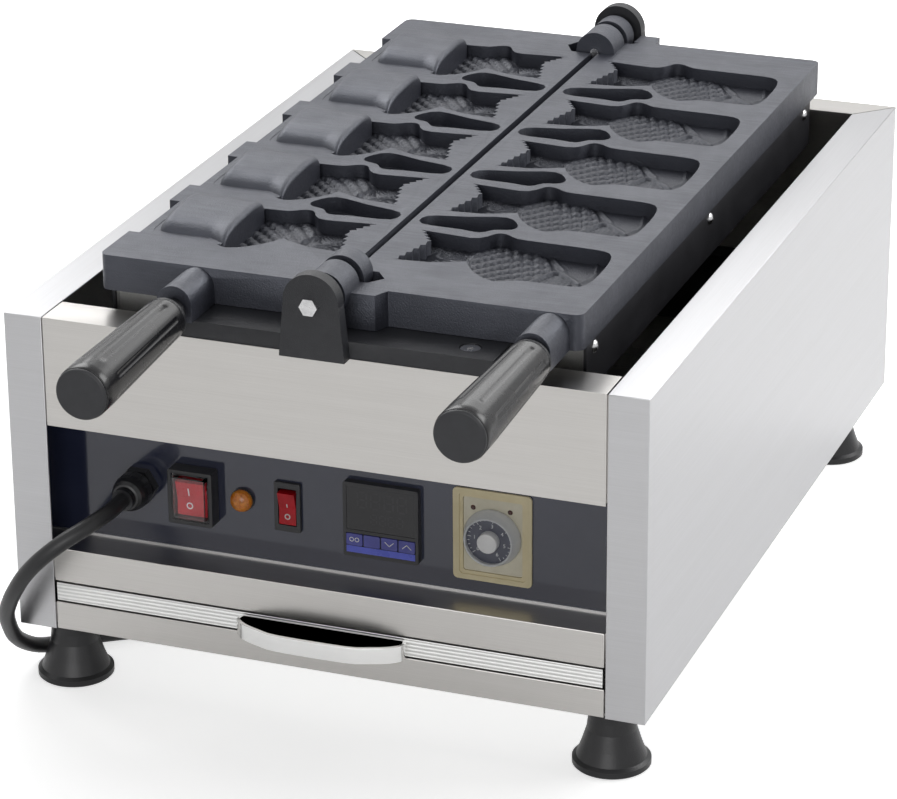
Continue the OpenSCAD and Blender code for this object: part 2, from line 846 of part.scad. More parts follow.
module mouth_cores() {
    top = fish_depth + core_rise;
    color(cast_black) mirror([1, 0, 0]) for (i = [0:fish_count - 1])
        translate([0, fish_y(i), mate_z - fish_depth]) hull() {
            core_slice(0, 0);
            core_slice(top - 9, 0);
            core_slice(top - 5, 1);
            core_slice(top - 1.8, 3.6);
            core_slice(top - 0.2, 6.9);
        }
}

// Grips, drawn along -Y from the front of the boss

pin_at = 16;
cap_t = 2.5;

module stud(gap) {
    reach = gap + grip_l - 12;
    color(bright) {
        rod(stud_d / 2, -reach, stud_seat - 1);
        rod(stud_d / 2 + 3, -gap + 2, -0.4);
        rod(grip_neck_d / 2 - 0.5, -gap, -gap + 2);
        translate([-grip_neck_d / 2 - 0.3, -gap - pin_at, 0]) rotate([0, 90, 0])
            cylinder(h = grip_neck_d + 0.6, r = 1.5, $fn = 32);
    }
}

module grip(gap) {
    body = grip_l - cap_t;
    neck = grip_neck_d / 2;
    end = grip_d / 2;
    taper = atan((end - neck) / (body - 16));
    color(gloss_black) translate([0, -gap, 0]) rotate([90, 0, 0]) difference() {
        rotate_extrude($fn = 96) polygon([
            [stud_d / 2 + 0.1, 0], [neck - 1, 0], [neck, 1], [end, body - 15], [end, body - 1.2],
            [end - 1.2, body], [stud_d / 2 + 0.1, body]
        ]);
        for (a = [22.5:45:337.5]) rotate([0, 0, a]) translate([neck + 3.4, 0, 8]) rotate([0, taper, 0])
            cylinder(h = body - 26, r = 4, $fn = 32);
        translate([-grip_neck_d, 0, pin_at]) rotate([0, 90, 0])
            cylinder(h = 2 * grip_neck_d, r = 1.6, $fn = 32);
    }
}

module grip_cap(gap) {
    end = grip_d / 2;
    color([0.22, 0.22, 0.23]) translate([0, -gap - grip_l + cap_t, 0]) rotate([90, 0, 0])
        rotate_extrude($fn = 96) polygon([
            [0, -8], [stud_d / 2, -8], [stud_d / 2, 0], [end - 0.8, 0], [end - 0.4, 1], [end - 1.2, cap_t],
            [0, cap_t]
        ]);
}

module left_stud() {
    grip_frame(-left_grip_x, left_droop) stud(left_stud_gap);
}

module left_grip() {
    grip_frame(-left_grip_x, left_droop) grip(left_stud_gap);
}

module left_grip_cap() {
    grip_frame(-left_grip_x, left_droop) grip_cap(left_stud_gap);
}

module right_stud() {
    grip_frame(right_grip_x, right_droop) stud(right_stud_gap);
}

module right_grip() {
    grip_frame(right_grip_x, right_droop) grip(right_stud_gap);
}

module right_grip_cap() {
    grip_frame(right_grip_x, right_droop) grip_cap(right_stud_gap);
}

// Drip drawer

module drip_tray() {
    w = tray_half_w;
    z0 = drawer_z + 0.1;
    color(stainless) difference() {
        block([-w, drawer_front_t, z0], [w, drawer_front_t + tray_l, z0 + drawer_h - 1]);
        block([tray_wall - w, drawer_front_t + tray_wall, z0 + tray_wall],
              [w - tray_wall, drawer_front_t + tray_l - tray_wall, z0 + drawer_h]);
    }
}

drawer_front_t = 3;

module drawer_front() {
    color([0.72, 0.72, 0.72])
        block([panel_gap - front_w, 0, drawer_z],
              [front_w - panel_gap, drawer_front_t, drawer_z + drawer_h]);
}

// Flat strap bow with its ends curved back to the drawer front
module drawer_handle() {
    strap_t = 2.2;
    strap_h = 10.5;
    half = handle_w / 2;
    z0 = drawer_z - 0.7;
    outer = smooth_open([
        [-half, 0], [-half - 0.5, -5], [-half + 6, -11.5], [-half + 18, -16.5], [-half + 32, -handle_reach],
        [half - 32, -handle_reach], [half - 18, -16.5], [half - 6, -11.5], [half + 0.5, -5], [half, 0]
    ], 3);
    color(bright) translate([0, 0, z0]) linear_extrude(strap_h) difference() {
        polygon(outer);
        offset(delta = -strap_t) polygon(concat([[-half, 2 * strap_t]], outer, [[half, 2 * strap_t]]));
    }
}

// Controls on the fascia

gland_thread_r = 9;
controller_body_w = 44.5;
timer_body = [45, 50];
rocker_axis_y = fascia_in + 3;

module cable_gland() {
    face = fascia_in;
    color(gloss_black) translate([gland_x, 0, controls_z]) difference() {
        union() {
            rod(12.4, face - 6, face, 0, 0, 6);
            rod(gland_thread_r, face - 8, face + 12);
            rod(12.7, face + fascia_t, face + fascia_t + 5, 0, 0, 6);
            translate([0, face - 8, 0]) rotate([90, 0, 0]) rotate_extrude($fn = 64) polygon([
                [0, 0], [11.6, 0], [11.6, 6], [11, 9], [10, 12], [8.4, 14], [cord_d / 2 + 2.2, 14.5],
                [cord_d / 2 + 2, face - 8], [0, face - 8]
            ]);
        }
        for (a = [0:30:330]) rotate([0, a, 0]) rod(0.8, face - 17, face - 9, 11.9, 0, 16);
    }
}

power_window = power_size - [5, 5];
power_well = [20.5, 26];
power_rocker_size = [19.5, 23];
power_pin = 1.6;

module power_switch_frame() {
    y0 = fascia_in - power_proud;
    color(gloss_black) difference() {
        union() {
            face_plate(power_at, power_size, 1.5, y0, fascia_in);
            face_box(power_at, power_window, fascia_in - eps, fascia_in + 22);
        }
        face_box(power_at, power_window, y0 - eps, fascia_in - 2);
        face_box(power_at, power_well, fascia_in - 2 - eps, fascia_in + 14);
        pivot_bore(power_at, power_rocker_size, power_pin);
    }
}

// Clear cover over the rocker: a flange seated in the frame and a box that stands out of it
module power_switch_cover() {
    flange = power_window - [0.4, 0.4];
    box = power_window - [2, 2.4];
    back = fascia_in - 2;
    step = fascia_in - power_proud + 1;
    color([0.8, 0.82, 0.85, 0.5]) difference() {
        union() {
            face_plate(power_at, flange, 1.5, step, back);
            face_plate(power_at, box, 2, step - 3.5, back);
        }
        face_box(power_at, box - [2, 2], step - 2.5, back + eps);
    }
}

pivot_r = 1.5;

// Pin across a rocker, standing out by pin on each side
module pivot(at, size, r, pin) {
    translate([at[0] - size[0] / 2 - pin, rocker_axis_y, at[1]]) rotate([0, 90, 0])
        cylinder(h = size[0] + 2 * pin, r = r, $fn = 32);
}

module pivot_bore(at, size, pin) {
    pivot(at, size, pivot_r + 0.1, pin + 0.1);
}

// Rocker seen from the side: two faces that meet over its pivot pin
module rocker(at, size, proud, pin) {
    half = size[1] / 2;
    tilt = rocker_turn / 2;
    pivot(at, size, pivot_r, pin);
    translate([at[0] - size[0] / 2, rocker_axis_y, at[1]]) rotate([90, 0, 90]) linear_extrude(size[0])
        rotate(tilt) polygon([
            [-proud, -half], [-proud + 1.5, 0], [-proud, half], [-0.5, half - 0.6], [4, 5], [5.5, 0],
            [4, -5], [-0.5, 0.6 - half]
        ]);
}

module power_rocker() {
    color([0.85, 0.1, 0.12]) rocker(power_at, power_rocker_size, 11.5, power_pin);
}

alarm_rocker_size = alarm_size - [6, 10.6];
alarm_pin = 1.1;

module alarm_switch_frame() {
    color(gloss_black) difference() {
        union() {
            face_plate(alarm_at, alarm_size, 1, fascia_in - 2.5, fascia_in);
            face_box(alarm_at, alarm_size - [3, 5], fascia_in - eps, fascia_in + 20);
        }
        face_box(alarm_at, alarm_size - [5, 8], fascia_in - 2.5 - eps, fascia_in + 12);
        pivot_bore(alarm_at, alarm_rocker_size, alarm_pin);
    }
}

module alarm_rocker() {
    color([0.85, 0.1, 0.12]) rocker(alarm_at, alarm_rocker_size, 6.6, alarm_pin);
}

module pilot_lamp_body() {
    color(gloss_black) difference() {
        union() {
            rod(lamp_d / 2 + 0.6, fascia_in - 1.5, fascia_in, lamp_at[0], lamp_at[1]);
            rod(lamp_d / 2 - 1.5, fascia_in - 1, fascia_in + 24, lamp_at[0], lamp_at[1]);
        }
        rod(lamp_d / 2 - 3, fascia_in - 2.5, fascia_in + 10, lamp_at[0], lamp_at[1]);
    }
}

module pilot_lamp_lens() {
    r = lamp_d / 2;
    color([1, 0.5, 0.05]) translate([lamp_at[0], fascia_in - 1.5, lamp_at[1]]) rotate([90, 0, 0])
        rotate_extrude($fn = 64) polygon([
            [0, -8], [r - 3.2, -8], [r - 3.2, 0], [r, 0], [r, 1.8], [r - 0.8, 3.6], [r - 2.4, 5],
            [r - 4.4, 5.9], [0, 6.3]
        ]);
}

key_size = [10.4, 7.6];
key_pitch = 11.3;
key_drop = 13;
window_size = [44, 28.6];
window_rise = 7.6;

module controller_case() {
    y0 = fascia_in - controller_proud;
    color(gloss_black) difference() {
        union() {
            face_plate(controller_at, [controller_w, controller_w], 1.5, y0, fascia_in);
            face_box(controller_at, [controller_body_w, controller_body_w], fascia_in - eps, fascia_in + 78);
        }
        face_box(controller_at + [0, window_rise], window_size, y0 - eps, y0 + 1.5);
        for (i = [0:3]) face_box(key_at(i), key_size + [0.6, 0.6], y0 - eps, y0 + 3);
    }
}

function key_at(i) = controller_at + [(i - 1.5) * key_pitch, -key_drop];

module controller_window() {
    y0 = fascia_in - controller_proud;
    color([0.05, 0.05, 0.07])
        face_box(controller_at + [0, window_rise], window_size - [0.2, 0.2], y0 + 0.3, y0 + 1.5);
}

key_stroke = 0.6;

// Key number i from the left
module key(i) {
    y0 = fascia_in - controller_proud;
    color([0.25, 0.25, 0.6]) face_plate(key_at(i), key_size, 0.8, y0 - 0.5, y0 + 3 - key_stroke - 0.3);
}

timer_window = timer_size - [12.4, 11.1];
plate_depth = 1.4;
knob_shaft_r = 4;

module timer_case() {
    y0 = fascia_in - timer_proud;
    color([0.82, 0.76, 0.6]) difference() {
        union() {
            face_plate(timer_at, timer_size, 3, y0, fascia_in);
            face_box(timer_at, timer_body, fascia_in - eps, fascia_in + 62);
        }
        face_plate(timer_at, timer_window + [4.4, 4.4], 2, y0 - eps, y0 + 0.7);
        face_plate(timer_at, timer_window, 1.5, y0 - eps, y0 + plate_depth + 0.8);
        rod(knob_shaft_r + 0.3, y0, fascia_in + 20, timer_at[0], timer_at[1]);
    }
}

module timer_dial() {
    y0 = fascia_in - timer_proud + plate_depth;
    color([0.93, 0.92, 0.86]) difference() {
        face_plate(timer_at, timer_window - [0.4, 0.4], 1.5, y0, y0 + 0.8);
        rod(knob_shaft_r + 0.3, y0 - eps, fascia_in + 5, timer_at[0], timer_at[1]);
    }
}

// Conical knob with a round cap in its middle
module timer_knob() {
    back = fascia_in - timer_proud + plate_depth - 0.5;
    r = knob_d / 2;
    color([0.85, 0.86, 0.86]) translate([timer_at[0], back, timer_at[1]]) {
        rotate([90, 0, 0]) rotate_extrude($fn = 96) polygon([
            [0, 0], [r, 0], [r, 1.4], [r - 0.8, 2.4], [r - 3.2, 8], [r - 4, 8.5], [7, 8], [6.4, 8.2],
            [6.4, 10.1], [5.6, 10.9], [0, 11.1]
        ]);
        rod(knob_shaft_r, -0.5, 18, 0, 0, 48);
    }
}

// Electrical parts behind the fascia, standing on the shelf

module contactor() {
    color([0.85, 0.85, 0.83]) translate([-150, 62, fascia_z]) difference() {
        union() {
            cube([45, 74, 20]);
            translate([0, 12, 0]) cube([45, 50, 46]);
            translate([6, 20, 0]) cube([33, 34, 58]);
        }
        for (i = [0:2], y = [-1, 65]) translate([5 + i * 13, y, 12]) cube([9, 10, 9]);
    }
}

module terminal_block() {
    color([0.92, 0.9, 0.85]) translate([-86, 62, fascia_z]) difference() {
        cube([30, 66, 20]);
        for (i = [0:4]) translate([-1, 3 + i * 12.4, 11]) cube([9, 9.6, 10]);
        for (i = [0:4]) translate([22, 3 + i * 12.4, 11]) cube([9, 9.6, 10]);
        for (i = [0:4]) translate([15, 7.8 + i * 12.4, 6]) cylinder(h = 15, r = 2.6, $fn = 32);
    }
}

module buzzer() {
    color(gloss_black) translate([-26, 78, fascia_z]) difference() {
        cylinder(h = 16, r = 15, $fn = 64);
        translate([0, 0, 13]) cylinder(h = 4, r = 3, $fn = 32);
        translate([0, 0, 14.5]) difference() {
            cylinder(h = 2, r = 13, $fn = 64);
            translate([0, 0, -1]) cylinder(h = 4, r = 10, $fn = 64);
        }
    }
}

// Power cord, coil and plug

floor_z = -foot_h;
cord_sides = 10;
cord_r = cord_d / 2;

// Route: out of the gland, then points across, along and above the floor, to the coil at the back
cord_hang = [
    [-132, -18, 133], [-138, -34, 130], [-149, -45, 123], [-162, -50, 112], [-174, -49, 99],
    [-184, -44, 85], [-193, -36, 71], [-200, -27, 58], [-205, -15, 44], [-208, -3, 31], [-209, 11, 20],
    [-207, 26, 11], [-202, 41, 6], [-191, 55, 5], [-177, 66, 5], [-162, 76, 5], [-147, 85, 5],
    [-133, 97, 5], [-121, 110, 5], [-112, 125, 5], [-105, 142, 5], [-94, 176, 5], [-86, 211, 5],
    [-79, 247, 5], [-73, 282, 5], [-68, 318, 5], [-62, 372, 5], [-57, 444, 5], [-54, 534, 5],
    [-54, 600, 5], [-54, 644, 5], [-54, 654, 5]
];
cord_route = concat(
    [[gland_x, 0, controls_z], [gland_x, -8, controls_z]],
    [for (p = cord_hang) [p[0], p[1], floor_z + max(p[2], cord_r + 0.2)]]
);

function unit(v) = v / norm(v);

function tangent_at(p, i) = i == 0 ? unit(p[1] - p[0])
    : i == len(p) - 1 ? unit(p[i] - p[i - 1])
    : unit(unit(p[i + 1] - p[i]) + unit(p[i] - p[i - 1]));

// Rings stand square to the path, with one side kept towards the sky or the front
function ring(p, i, r, n) =
    let (t = tangent_at(p, i), ref = abs(t[2]) > 0.9 ? [0, 1, 0] : [0, 0, 1])
    let (a = unit(cross(t, ref)), b = cross(a, t))
    [for (k = [0:n - 1]) p[i] + r * (a * cos(360 * k / n) + b * sin(360 * k / n))];

module tube(path, r, n) {
    rings = len(path);
    points = [for (i = [0:rings - 1]) each ring(path, i, r, n)];
    sides = [for (i = [0:rings - 2], k = [0:n - 1], half = [0, 1])
        let (a = i * n + k, b = i * n + (k + 1) % n)
        half == 0 ? [a, b, a + n] : [b, b + n, a + n]];
    caps = [
        for (k = [1:n - 2]) [0, k + 1, k],
        for (k = [1:n - 2]) [(rings - 1) * n, (rings - 1) * n + k, (rings - 1) * n + k + 1]
    ];
    polyhedron(points, concat(sides, caps));
}

cord_end = cord_route[len(cord_route) - 1];
cord_path = [for (p = smooth_open(cord_route, 2)) [p[0], p[1], max(p[2], floor_z + cord_r + 0.2)]];

module power_cord() {
    color(gloss_black) tube(cord_path, cord_d / 2, cord_sides);
}

// Coil of loops: spirals in on the floor and out again one layer up
coil_loops = 2;
coil_r = 55;
coil_step = 11;
coil_layer = 12;
coil_sides = 6;
coil_rings = 24;
coil_outer = coil_r + coil_step;
coil_centre = cord_end + [coil_outer, cord_d, 0];
coil_total = 2 * coil_loops * coil_rings;

// Reach of the coil at ring i, and its height, which climbs in the half turn round the middle
function coil_radius(i) = coil_outer - coil_step * (coil_loops - abs(i - coil_total / 2) / coil_rings);
function coil_height(i) = coil_layer * min(1, max(0, (i - coil_total / 2) / (coil_rings / 2) + 0.5));
function coil_point(i) = let (a = 180 - 360 * i / coil_rings)
    coil_centre + [coil_radius(i) * cos(a), coil_radius(i) * sin(a), coil_height(i)];

coil_exit = coil_point(coil_total) + [0, 2 * cord_d, 0];
coil_path = concat(
    [cord_end, cord_end + [0, cord_d, 0]],
    [for (i = [1:coil_total - 1]) coil_point(i)],
    [coil_point(coil_total) + [0, cord_d / 2, 0], coil_exit - [0, cord_d / 2, 0], coil_exit]
);

// Least gap of the coil to itself, measured between rings more than half a turn apart
coil_gap = min([for (i = [0:len(coil_path) - 1], k = [i + 1:len(coil_path) - 1])
    if (k - i > coil_rings / 2) norm(coil_path[i] - coil_path[k]) - cord_d]);
echo(least_gap_of_the_coil_to_itself = coil_gap);

module cord_coil() {
    color(gloss_black) tube(coil_path, cord_d / 2, coil_sides);
}

// Two-pin earthed plug with its strain relief, lying on the floor
plug_r = coil_exit[2] - floor_z;

module plug() {
    color(gloss_black) translate(coil_exit) rotate([-90, 0, 0]) {
        rotate_extrude($fn = 64) polygon([
            [0, 0], [cord_d / 2 + 1, 0], [cord_d / 2 + 2.4, 26], [plug_r - 6, 30], [plug_r - 1.5, 38],
            [plug_r - 0.2, 44], [plug_r - 0.2, 62], [plug_r - 1, 63], [0, 63]
        ]);
        for (x = [-9.5, 9.5]) translate([x, 0, 62]) {
            cylinder(h = 18, r = 2.4, $fn = 32);
            translate([0, 0, 18]) cylinder(h = 1.4, r1 = 2.4, r2 = 1.4, $fn = 32);
        }
    }
}

stand() left_side_panel();
stand() right_side_panel();
stand() back_panel();
stand() base_pan();
stand() bottom_rail();
stand() drawer_bar();
stand() upper_front_panel();
stand() control_fascia();
stand() drawer_runners();
stand() front_left_foot();
stand() front_right_foot();
stand() rear_left_foot();
stand() rear_right_foot();
stand() front_beam();
stand() rear_beam();
stand() front_hinge_bolt();
stand() rear_hinge_bolt();
stand() screws();
stand() heater_box();
stand() insulation_board();
stand() left_element();
stand() right_element();
stand() thermocouple();
stand() left_skirt();
stand() right_skirt();
stand() cable_gland();
stand() power_switch_frame();
stand() power_switch_cover();
stand() alarm_switch_frame();
stand() pilot_lamp_body();
stand() pilot_lamp_lens();
stand() controller_case();
stand() controller_window();
stand() timer_case();
stand() timer_dial();
stand() contactor();
stand() terminal_block();
stand() buzzer();
stand() left_mould();
stand() mouth_cores();
stand() left_stud();
stand() left_grip();
stand() left_grip_cap();
stand() right_mould();
stand() right_stud();
stand() right_grip();
stand() right_grip_cap();
stand() drip_tray();
stand() drawer_front();
stand() drawer_handle();
stand() power_rocker();
stand() alarm_rocker();
stand() timer_knob();
stand() key(0);  // key_1
stand() key(1);  // key_2
stand() key(2);  // key_3
stand() key(3);  // key_4
stand() power_cord();
stand() cord_coil();
stand() plug();
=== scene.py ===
import bpy
import bmesh
import json
import math
from mathutils import Matrix, Vector

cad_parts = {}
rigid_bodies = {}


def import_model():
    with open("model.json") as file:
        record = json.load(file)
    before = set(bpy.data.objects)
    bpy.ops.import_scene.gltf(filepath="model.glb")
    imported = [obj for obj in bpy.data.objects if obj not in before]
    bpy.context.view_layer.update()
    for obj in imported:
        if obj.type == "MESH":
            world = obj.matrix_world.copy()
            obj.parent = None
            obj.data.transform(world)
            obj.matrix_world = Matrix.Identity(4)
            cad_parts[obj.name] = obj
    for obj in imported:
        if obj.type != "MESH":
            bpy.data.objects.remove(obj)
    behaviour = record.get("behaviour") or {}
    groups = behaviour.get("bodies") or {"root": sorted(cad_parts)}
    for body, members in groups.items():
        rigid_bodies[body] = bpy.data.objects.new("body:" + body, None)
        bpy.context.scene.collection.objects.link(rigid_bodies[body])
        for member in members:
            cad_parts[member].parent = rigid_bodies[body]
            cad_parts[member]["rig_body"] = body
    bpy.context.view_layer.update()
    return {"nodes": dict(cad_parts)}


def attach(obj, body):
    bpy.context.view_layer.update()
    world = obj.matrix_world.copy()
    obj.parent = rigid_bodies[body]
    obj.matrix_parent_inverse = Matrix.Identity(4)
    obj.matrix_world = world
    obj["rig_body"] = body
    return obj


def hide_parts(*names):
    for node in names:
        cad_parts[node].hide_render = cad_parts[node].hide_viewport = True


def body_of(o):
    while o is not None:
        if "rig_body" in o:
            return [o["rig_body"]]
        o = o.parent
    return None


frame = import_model()

# Cabinet millimetres to metres on the floor: across, back from the cabinet's front, up from its bottom
MIDDLE_Y = 223.2658
FOOT = 39.0


def at(x, y, z):
    return Vector((x / 1000, (y - MIDDLE_Y) / 1000, (z + FOOT) / 1000))


# Camera

def add_camera():
    data = bpy.data.cameras.new("photo_camera")
    data.lens = 150.42
    data.sensor_width = 36
    data.sensor_fit = "HORIZONTAL"
    data.clip_start = 0.1
    data.clip_end = 50
    camera = bpy.data.objects.new("photo_camera", data)
    right = Vector((0.9365283, 0.35053835, -0.00613319))
    up = Vector((-0.12947209, 0.3620601, 0.92311942))
    back = Vector((0.32580934, -0.86373338, 0.38446446))
    turn = Matrix((right, up, back)).transposed().to_4x4()
    camera.matrix_world = Matrix.Translation(at(792.7, -1883.1, 1029.8)) @ turn
    bpy.context.scene.collection.objects.link(camera)
    bpy.context.scene.camera = camera


add_camera()


# Node helpers

def new_material(name):
    material = bpy.data.materials.new(name)
    material.use_nodes = True
    tree = material.node_tree
    shader = tree.nodes["Principled BSDF"]
    return material, tree, shader


def add_node(tree, kind, **values):
    node = tree.nodes.new(kind)
    for key, value in values.items():
        if hasattr(node, key):
            setattr(node, key, value)
        else:
            node.inputs[key.replace("_", " ")].default_value = value
    return node


def set_inputs(node, **values):
    for key, value in values.items():
        node.inputs[key.replace("_", " ")].default_value = value
    return node


def new_group(name, takes, gives):
    tree = bpy.data.node_groups.new(name, "ShaderNodeTree")
    for label, kind in takes:
        tree.interface.new_socket(name=label, in_out="INPUT", socket_type=kind)
    for label, kind in gives:
        tree.interface.new_socket(name=label, in_out="OUTPUT", socket_type=kind)
    return tree, tree.nodes.new("NodeGroupInput"), tree.nodes.new("NodeGroupOutput")


def place_group(tree, group, **values):
    node = tree.nodes.new("ShaderNodeGroup")
    node.node_tree = group
    return set_inputs(node, **values)


def ramp(tree, low, high, first, last):
    """Colour from low to high while the mask goes from first to last."""
    node = tree.nodes.new("ShaderNodeValToRGB")
    for stop, colour, position in zip(node.color_ramp.elements, (low, high), (first, last)):
        stop.position = position
        stop.color = (*colour, 1)
    return node


def value_range(tree, low, high, **limits):
    return set_inputs(tree.nodes.new("ShaderNodeMapRange"), To_Min=low, To_Max=high, **limits)


def wire(tree, *links):
    """Each link is a node, its output, another node and its input."""
    for giver, output, taker, taken in links:
        tree.links.new(giver.outputs[output], taker.inputs[taken])


def object_place(tree, *fed):
    """Object coordinates, linked to the inputs given."""
    place = tree.nodes.new("ShaderNodeTexCoord")
    for taken in fed:
        tree.links.new(place.outputs["Object"], taken)
    return place


def blend(tree, share, first, second):
    """Value made of two, with a share of the second."""
    both = add_node(tree, "ShaderNodeMix", data_type="FLOAT")
    both.inputs[0].default_value = share
    tree.links.new(first, both.inputs[2])
    tree.links.new(second, both.inputs[3])
    return both.outputs[0]


def finish_surface(tree, shader, mask, colour, roughness, normal):
    """Colour and roughness that follow a mask, and a normal, fed to the shader."""
    tree.links.new(mask, colour.inputs[0])
    tree.links.new(mask, roughness.inputs["Value"])
    wire(tree, (colour, 0, shader, "Base Color"), (roughness, 0, shader, "Roughness"))
    tree.links.new(normal, shader.inputs["Normal"])


def mix_shaders(tree, share, first, second):
    """The first shader where the share is 0, the second where it is 1."""
    mixed = tree.nodes.new("ShaderNodeMixShader")
    for given, taken in zip((share, first.outputs[0], second.outputs[0]), mixed.inputs):
        tree.links.new(given, taken)
    return mixed


def add_shaders(tree, first, second):
    total = tree.nodes.new("ShaderNodeAddShader")
    for given, taken in zip((first, second), total.inputs):
        tree.links.new(given.outputs[0], taken)
    return total


# Groups shared by several finishes

def brush_group():
    """Fine parallel lines: the vector is already stretched along the brushing."""
    tree, taken, given = new_group(
        "brush_lines",
        [("Vector", "NodeSocketVector")],
        [("Mask", "NodeSocketFloat"), ("Normal", "NodeSocketVector")])
    fine = add_node(tree, "ShaderNodeTexNoise", Scale=1.0, Detail=4.0, Roughness=0.75)
    broad = add_node(tree, "ShaderNodeTexNoise", Scale=0.08, Detail=3.0, Roughness=0.5)
    bump = add_node(tree, "ShaderNodeBump", Strength=0.04, Distance=0.0001)
    wire(tree, (taken, "Vector", fine, "Vector"), (taken, "Vector", broad, "Vector"))
    tree.links.new(blend(tree, 0.2, fine.outputs[0], broad.outputs[0]), given.inputs["Mask"])
    wire(tree, (fine, 0, bump, "Height"), (bump, 0, given, "Normal"))
    return tree


def grain_group():
    """Two sizes of grain, for cast and moulded surfaces. The mask is the broad mottling."""
    tree, taken, given = new_group(
        "surface_grain",
        [("Vector", "NodeSocketVector"), ("Grain", "NodeSocketFloat"), ("Mottle", "NodeSocketFloat"),
         ("Depth", "NodeSocketFloat")],
        [("Mask", "NodeSocketFloat"), ("Normal", "NodeSocketVector")])
    fine = add_node(tree, "ShaderNodeTexNoise", Detail=4.0, Roughness=0.62)
    broad = add_node(tree, "ShaderNodeTexNoise", Detail=5.0, Roughness=0.6)
    bump = add_node(tree, "ShaderNodeBump", Distance=0.0006)
    for noise, size in ((fine, "Grain"), (broad, "Mottle")):
        tree.links.new(taken.outputs["Vector"], noise.inputs["Vector"])
        tree.links.new(taken.outputs[size], noise.inputs["Scale"])
    wire(tree, (taken, "Depth", bump, "Strength"), (fine, 0, bump, "Height"), (broad, 0, given, "Mask"),
         (bump, 0, given, "Normal"))
    return tree


BRUSH = brush_group()
GRAIN = grain_group()
LINE_LONG, LINE_FINE = 14.0, 1500.0  # Scale of the brushing along its lines and across them


# Finishes

def brushed_sheet(name, stretch, dark, light, rough, anisotropy=0.0):
    """Stainless sheet. stretch is the pattern's scale across, along and up."""
    material, tree, shader = new_material(name)
    scale = add_node(tree, "ShaderNodeMapping", Scale=stretch)
    lines = place_group(tree, BRUSH)
    object_place(tree, scale.inputs["Vector"])
    wire(tree, (scale, 0, lines, "Vector"))
    finish_surface(tree, shader, lines.outputs["Mask"], ramp(tree, dark, light, 0.3, 0.7),
                   value_range(tree, *rough), lines.outputs["Normal"])
    set_inputs(shader, Metallic=1.0, Anisotropic=anisotropy)
    return material


def side_sheet(name, dark, light, rough):
    """Sheet folded round a side: lines run back along the side and the top, and across the front fold, which
    gets painted shade.
    """
    material, tree, shader = new_material(name)
    facing = add_node(tree, "ShaderNodeSeparateXYZ")
    front = add_node(tree, "ShaderNodeMath", operation="ABSOLUTE")
    across = value_range(tree, LINE_FINE, LINE_LONG)
    stretch = add_node(tree, "ShaderNodeCombineXYZ", Y=LINE_LONG, Z=LINE_FINE)
    scale = add_node(tree, "ShaderNodeVectorMath", operation="MULTIPLY")
    lines = place_group(tree, BRUSH)
    place = object_place(tree, scale.inputs[0])
    wire(tree, (place, "Normal", facing, 0), (facing, "Y", front, 0), (front, 0, across, "Value"),
         (across, 0, stretch, "X"), (stretch, 0, scale, 1), (scale, 0, lines, "Vector"))
    colour = ramp(tree, dark, light, 0.3, 0.7)
    finish_surface(tree, shader, lines.outputs["Mask"], colour, value_range(tree, *rough),
                   lines.outputs["Normal"])
    # Painted shade: faces turned to the front get a darker colour
    shade = value_range(tree, 1.0, 0.95)
    front_painted_shade = add_node(tree, "ShaderNodeVectorMath", operation="SCALE")
    wire(tree, (front, 0, shade, "Value"), (colour, 0, front_painted_shade, 0), (shade, 0, front_painted_shade, "Scale"),
         (front_painted_shade, 0, shader, "Base Color"))
    set_inputs(shader, Metallic=1.0)
    return material


def grained(name, dark, light, rough, grain, mottle, depth, **shader_values):
    """Cast, moulded or painted surface: mottled colour and roughness over a fine grain."""
    material, tree, shader = new_material(name)
    surface = place_group(tree, GRAIN, Grain=grain, Mottle=mottle, Depth=depth)
    object_place(tree, surface.inputs["Vector"])
    finish_surface(tree, shader, surface.outputs["Mask"], ramp(tree, dark, light, 0.35, 0.65),
                   value_range(tree, *rough), surface.outputs["Normal"])
    set_inputs(shader, **shader_values)
    return material


def worn_casting(name, dark, light, rough, depth, shine=1.0):
    """Seasoned iron: a fine grain, cloudy wear and faint strokes of the brush that oils it."""
    material, tree, shader = new_material(name)
    surface = place_group(tree, GRAIN, Grain=900.0, Mottle=34.0, Depth=depth)
    stretch = add_node(tree, "ShaderNodeMapping", Scale=(30.0, 420.0, 420.0))
    strokes = add_node(tree, "ShaderNodeTexNoise", Scale=1.0, Detail=3.0, Roughness=0.6)
    object_place(tree, surface.inputs["Vector"], stretch.inputs["Vector"])
    wire(tree, (stretch, 0, strokes, "Vector"))
    wear = blend(tree, 0.4, surface.outputs["Mask"], strokes.outputs[0])
    finish_surface(tree, shader, wear, ramp(tree, dark, light, 0.38, 0.62),
                   value_range(tree, rough[1], rough[0], From_Min=0.36, From_Max=0.64),
                   surface.outputs["Normal"])
    set_inputs(shader, Specular_IOR_Level=shine, Specular_Tint=(0.84, 0.88, 1.0, 1))
    return material


def rolled_aluminium(name):
    """Drawer front: narrow rolled bands along it."""
    material, tree, shader = new_material(name)
    bands = add_node(tree, "ShaderNodeTexWave", wave_type="BANDS", bands_direction="Z", wave_profile="SIN",
                     Scale=130.0, Distortion=0.0, Detail=0.0)
    surface = place_group(tree, GRAIN, Grain=3000.0, Mottle=60.0, Depth=0.2)
    colour = ramp(tree, (0.66, 0.66, 0.65), (0.86, 0.86, 0.85), 0.2, 0.8)
    bump = add_node(tree, "ShaderNodeBump", Strength=0.5, Distance=0.0004)
    object_place(tree, bands.inputs["Vector"], surface.inputs["Vector"])
    wire(tree, (bands, "Fac", bump, "Height"), (surface, "Normal", bump, "Normal"))
    finish_surface(tree, shader, surface.outputs["Mask"], colour, value_range(tree, 0.32, 0.44),
                   bump.outputs[0])
    wire(tree, (bands, "Fac", colour, 0))
    set_inputs(shader, Metallic=1.0)
    return material


